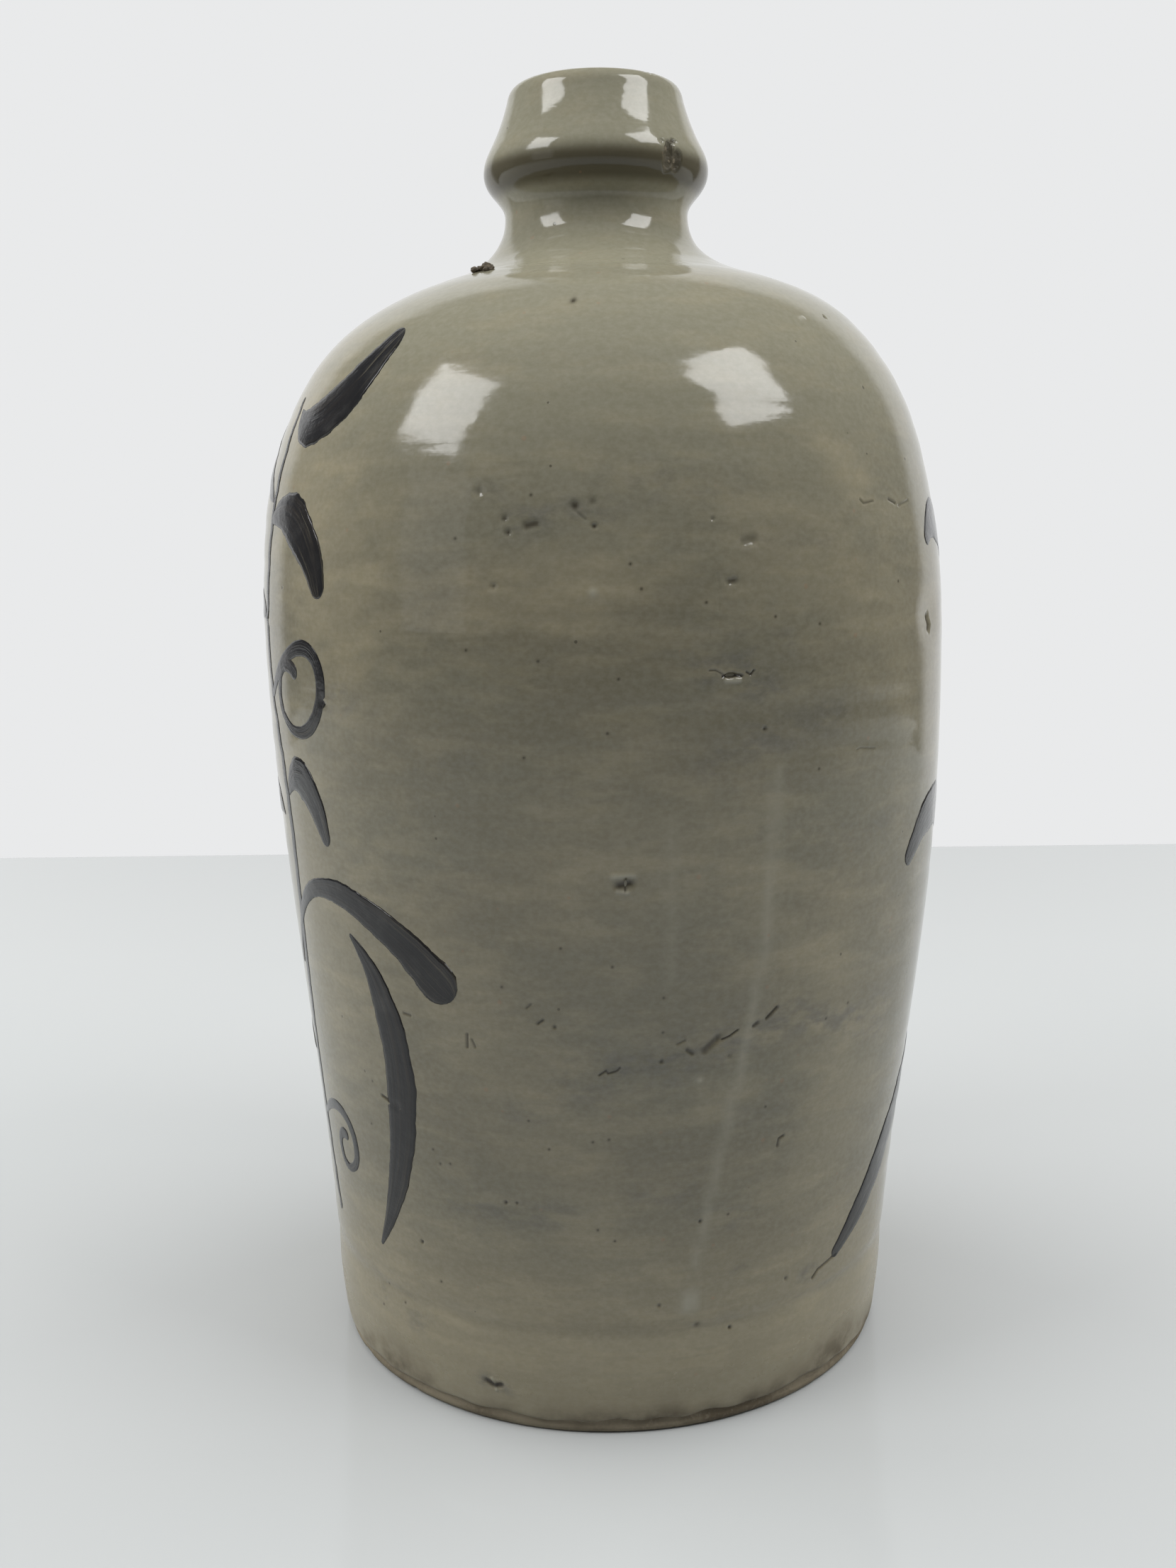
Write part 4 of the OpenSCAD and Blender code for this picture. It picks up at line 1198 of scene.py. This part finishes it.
def build_materials(c):
    build_groups(c)
    _, tree, shader = new_material("Ash Glaze")
    tone = grouped(tree, "Glaze Tone")
    dark, bare, stain = (painted(tree, n) for n in ("dark", "bare", "stain"))
    clay = grouped(tree, "Fired Clay")
    worn = drifting(tree, 0.007, 1.2, 5.0)
    soiled = product(tree, stain, between(tree, worn, 0.33, 0.6, 0.35, 1.0))
    tint = layer(tree, soiled, tone["Colour"], solid(c.stain))
    tint = layer(tree, dark, tint, solid(c.speck))
    # The bare clay in the chips and the knock is mostly painted shade, with only a little of the
    # clay's own colour
    tint = layer(tree, bare, tint, layer(tree, 0.85, clay["Colour"], solid(c.glaze_and_painted_shade)))
    tree.links.new(tint, shader.inputs["Base Color"])
    high = painted(tree, "rise")
    low = between(tree, high, 3.0, 30.0, 0.2, 0.0)
    dull = add(tree, between(tree, worn, 0.4, 0.75, 0.085, 0.15), low)
    dull = add(tree, dull, product(tree, bare, 0.5))
    dull = add(tree, dull, product(tree, soiled, 0.3), clamp=True)
    tree.links.new(dull, shader.inputs["Roughness"])
    peel = drifting(tree, 0.0035, 1.4, 2.0)
    lines = grouped(tree, "Finger Lines", Pitch=0.0021, Wander=2.5)["Height"]
    relief = add(tree, product(tree, peel, 0.4), product(tree, lines, 0.10))
    relief = sums(tree, "SUBTRACT", relief, product(tree, tone["Specks"], 0.5))
    rough = product(tree, bare, product(tree, clay["Height"], 5.0))
    relief = add(tree, relief, rough)
    rough_surface(tree, shader, relief, 0.00006)

    _, tree, shader = new_material("Pooled Glaze Inside")
    tone = grouped(tree, "Glaze Tone")
    tree.links.new(tone["Colour"], shader.inputs["Base Color"])
    shader.inputs["Roughness"].default_value = 0.16
    lines = grouped(tree, "Finger Lines", Pitch=0.004, Wander=1.5)["Height"]
    rough_surface(tree, shader, lines, 0.0001)

    _, tree, shader = new_material("Brushed Iron")
    tone = grouped(tree, "Glaze Tone")
    along, across, stroke = (painted(tree, n) for n in ("along", "across", "stroke"))
    hairs = put(tree, "ShaderNodeTexNoise", {
        "Vector": put(tree, "ShaderNodeCombineXYZ", {
            0: product(tree, along, 1.6), 1: product(tree, across, 5.0),
            2: stroke}).outputs[0],
        "Scale": 1.0, "Detail": 4.0, "Roughness": 0.6}).outputs["Fac"]
    cloud = drifting(tree, 0.006, 1.0, 4.0)
    body = layer(tree, between(tree, hairs, 0.45, 0.72, 0.0, 0.6), solid(c.iron),
                 solid(c.iron_thin))
    body = layer(tree, between(tree, cloud, 0.5, 0.8, 0.0, 0.22), body, solid(c.smoke))
    edge = between(tree, sums(tree, "ABSOLUTE", across), 0.88, 1.0, 0.0, 0.45)
    dry = between(tree, add(tree, hairs, product(tree, along, 0.18)),
                  0.72, 0.9, 0.0, 0.6)
    bleed = sums(tree, "MAXIMUM", edge, dry)
    tint = layer(tree, bleed, body, layer(tree, 0.45, solid(c.iron_thin), tone["Colour"]))
    tree.links.new(tint, shader.inputs["Base Color"])
    tree.links.new(between(tree, cloud, 0.3, 0.8, 0.10, 0.22), shader.inputs["Roughness"])
    peel = drifting(tree, 0.0025, 1.4, 2.0)
    rough_surface(tree, shader, add(tree, peel, hairs), 0.00007)

    for name, depth, shine in (("Bare Foot Clay", 0.00022, 0.82), ("Body Clay", 0.00015, 0.8)):
        _, tree, shader = new_material(name)
        clay = grouped(tree, "Fired Clay")
        tree.links.new(clay["Colour"], shader.inputs["Base Color"])
        shader.inputs["Roughness"].default_value = shine
        rough_surface(tree, shader, clay["Height"], depth)

    _, tree, shader = new_material("Kiln Grit")
    sand = drifting(tree, 0.0007, 1.0, 4.0)
    tint = layer(tree, between(tree, sand, 0.35, 0.7), solid(c.grit), solid(c.burnt))
    tree.links.new(tint, shader.inputs["Base Color"])
    tree.links.new(between(tree, sand, 0.3, 0.7, 0.3, 0.75), shader.inputs["Roughness"])
    rough_surface(tree, shader, sand, 0.0003)


# ---------------------------------------------------------------- operators


def sizes():
    return bpy.context.scene.flask_sizes


def colours():
    return bpy.context.scene.flask_colours


def finish_named(name):
    """A finish by name. All the finishes are made the first time one is asked for."""
    if name not in bpy.data.materials:
        build_materials(colours())
    return bpy.data.materials[name]


class FLASK_OT_stage(Operator):
    """Set up the camera, the table, the surroundings and the soft lamps"""

    bl_idname = "flask.stage"
    bl_label = "Camera and Stage"

    def execute(self, context):
        s = context.scene.flask_stage
        lens = bpy.data.cameras.new("Camera")
        lens.lens = s.lens
        lens.clip_start = 0.01
        camera = bpy.data.objects.new("Camera", lens)
        context.scene.collection.objects.link(camera)
        camera.matrix_world = (
            Matrix.Translation((0, -s.camera_far, s.camera_h))
            @ Matrix.Rotation(s.camera_left, 4, "Z")
            @ Matrix.Rotation(math.pi / 2 - s.camera_down, 4, "X")
            @ Matrix.Rotation(s.camera_roll, 4, "Z")
        )
        context.scene.camera = camera
        context.scene.view_settings.view_transform = "Standard"
        self.table(context, s)
        self.air(context, s)
        aim = Vector((0, 0, 0.17))
        for name, turn, rise, wide, tall, glow, mirrored in (
            ("Left Lamp", -64, 41, 0.41, 0.40, s.lamp, True),
            ("Right Lamp", 63, 47, 0.43, 0.42, s.lamp, True),
            ("Left Panel", -54, 10, 0.40, 0.46, 0.06 * s.lamp, True),
            ("Overhead", 0, 82, 0.9, 0.9, 0.5 * s.lamp, False),
            ("Left Fill", -112, 16, 0.8, 0.7, 0.62 * s.lamp, False),
            ("Right Fill", 112, 16, 0.8, 0.7, 0.55 * s.lamp, False),
        ):
            self.lamp(context, name, aim, turn, rise, wide, tall, glow, mirrored)
        return {"FINISHED"}

    def table(self, context, s):
        """A polished pale table top with softened edges."""
        bm = bmesh.new()
        bmesh.ops.create_cube(bm, size=1.0)
        for v in bm.verts:
            v.co.x *= 3.0
            v.co.y = mix(-1.1, s.table_far, v.co.y + 0.5)
            v.co.z = mix(-0.03, 0.0, v.co.z + 0.5)
        bmesh.ops.bevel(bm, geom=bm.edges, offset=0.004, segments=3, affect="EDGES")
        mesh = finish_mesh(bm, "Table")
        material, tree, shader = new_material("Table Top")
        cloud = put(tree, "ShaderNodeTexNoise", {
            "Vector": spot(tree), "Scale": 5.0, "Detail": 5.0, "Roughness": 0.6})
        veins = between(tree, cloud.outputs["Fac"], 0.42, 0.7)
        tint = layer(tree, product(tree, veins, 0.16), solid(s.table),
                     (0.42, 0.45, 0.45, 1.0))
        tree.links.new(tint, shader.inputs["Base Color"])
        shader.inputs["Roughness"].default_value = 0.09
        shader.inputs["IOR"].default_value = 1.3
        mesh.materials.append(material)
        table = bpy.data.objects.new("Table", mesh)
        context.scene.collection.objects.link(table)

    def air(self, context, s):
        """Pale surroundings, dimmer on the side the flask is seen from."""
        world = bpy.data.worlds.new("Studio")
        world.use_nodes = True
        tree = world.node_tree
        way = put(tree, "ShaderNodeSeparateXYZ",
                  {0: put(tree, "ShaderNodeTexCoord").outputs["Generated"]})
        screen = between(tree, way.outputs[1], 0.60, 0.72, s.gloom, 1.0)
        seen = put(tree, "ShaderNodeLightPath").outputs["Is Camera Ray"]
        bright = mix_value(tree, seen, screen, 1.0)
        tree.links.new(bright, tree.nodes["Background"].inputs["Strength"])
        tree.nodes["Background"].inputs["Color"].default_value = solid(s.air)
        context.scene.world = world

    def lamp(self, context, name, aim, turn, rise, wide, tall, glow, mirrored):
        a, e = math.radians(turn), math.radians(rise)
        way = Vector((math.sin(a) * math.cos(e), -math.cos(a) * math.cos(e), math.sin(e)))
        light = bpy.data.lights.new(name, "AREA")
        light.shape = "RECTANGLE"
        light.size, light.size_y = wide, tall
        light.energy = glow * math.pi * wide * tall
        lamp = bpy.data.objects.new(name, light)
        lamp.location = aim + way
        lamp.visible_glossy = mirrored
        lamp.rotation_euler = way.to_track_quat("Z", "Y").to_euler()
        context.scene.collection.objects.link(lamp)


class FLASK_OT_glaze(Operator):
    """Build the outer and the inner glaze"""

    bl_idname = "flask.glaze"
    bl_label = "Glaze"

    def execute(self, context):
        form = Form(sizes())
        new_piece("outer_glaze_skin", glaze_skin(form, "outer_glaze_skin"),
                  ["outer_glaze"], finish_named("Ash Glaze"))
        new_piece("inner_glaze_skin", inner_glaze_mesh(form, "inner_glaze_skin"),
                  ["inner_glaze"], finish_named("Pooled Glaze Inside"))
        return {"FINISHED"}


class FLASK_OT_vines(Operator):
    """Brush the stem, leaves and tendrils of the vine on each side"""

    bl_idname = "flask.vines"
    bl_label = "Brushed Vines"

    def execute(self, context):
        form = Form(sizes())
        for seed, (node, (az0, strokes)) in enumerate(VINES.items(), 1):
            mesh = vine_mesh(form, node + "_brushed", az0, strokes, seed)
            new_piece(node + "_brushed", mesh, [node],
                      finish_named("Brushed Iron"))
        return {"FINISHED"}


class FLASK_OT_clay(Operator):
    """Build the clay under the glaze, section by section, and the bare foot"""

    bl_idname = "flask.clay"
    bl_label = "Clay"

    def execute(self, context):
        form = Form(sizes())
        out, hollow = form.outside, form.hollow
        crease, belt = out.at_height(bottom("lower_body")), out.at_height(bottom("upper_body"))
        seat, collar = out.at_height(top("upper_body")), out.at_height(bottom("mouth_collar"))
        floor = hollow.at_height(top("base_disc"))
        belt_in = hollow.at_height(top("lower_body"))
        seat_in = hollow.at_height(bottom("neck"))
        collar_in = hollow.at_height(top("neck"))
        new_piece("bare_foot", foot_mesh(form, "bare_foot", crease, floor),
                  ["base_disc"], finish_named("Bare Foot Clay"))
        for name, node, low, high, inner_low, inner_high in (
            ("lower_body_clay", "lower_body", crease, belt, floor, belt_in),
            ("upper_body_clay", "upper_body", belt, seat, belt_in, seat_in),
            ("neck_clay", "neck", seat, collar, seat_in, collar_in),
            ("mouth_collar_clay", "mouth_collar", collar, out.length, collar_in,
             hollow.length),
        ):
            mesh = clay_section(form, name, low, high, inner_low, inner_high)
            new_piece(name, mesh, [node], finish_named("Body Clay"))
        return {"FINISHED"}


class FLASK_OT_grit(Operator):
    """Stick the crumbs of kiln grit to the glaze at the foot of the neck"""

    bl_idname = "flask.grit"
    bl_label = "Kiln Grit"

    def execute(self, context):
        form = Form(sizes())
        new_piece("kiln_grit_crumbs", grit_mesh(form, "kiln_grit_crumbs"),
                  ["kiln_grit"], finish_named("Kiln Grit"))
        return {"FINISHED"}


STEPS = (FLASK_OT_stage, FLASK_OT_glaze, FLASK_OT_vines, FLASK_OT_clay, FLASK_OT_grit)


class FLASK_PT_panel(Panel):
    """Lists the flask's sizes, its colours and the steps that build it"""

    bl_label = "Sake Flask"
    bl_idname = "FLASK_PT_panel"
    bl_space_type = "VIEW_3D"
    bl_region_type = "UI"
    bl_category = "Flask"

    def draw(self, context):
        for group in ("flask_sizes", "flask_colours", "flask_stage"):
            box = self.layout.box()
            owner = getattr(context.scene, group)
            for key in owner.__annotations__:
                box.prop(owner, key)
        for step in STEPS:
            self.layout.operator(step.bl_idname)


CLASSES = (FlaskSizes, GlazeColours, StageSizes, *STEPS, FLASK_PT_panel)


def register():
    for cls in CLASSES:
        bpy.utils.register_class(cls)
    bpy.types.Scene.flask_sizes = PointerProperty(type=FlaskSizes)
    bpy.types.Scene.flask_colours = PointerProperty(type=GlazeColours)
    bpy.types.Scene.flask_stage = PointerProperty(type=StageSizes)


def unregister():
    del bpy.types.Scene.flask_stage
    del bpy.types.Scene.flask_colours
    del bpy.types.Scene.flask_sizes
    for cls in reversed(CLASSES):
        bpy.utils.unregister_class(cls)


def main():
    register()
    bpy.ops.flask.stage()
    bpy.ops.flask.glaze()
    bpy.ops.flask.vines()
    bpy.ops.flask.clay()
    bpy.ops.flask.grit()


if __name__ == "__main__":
    main()
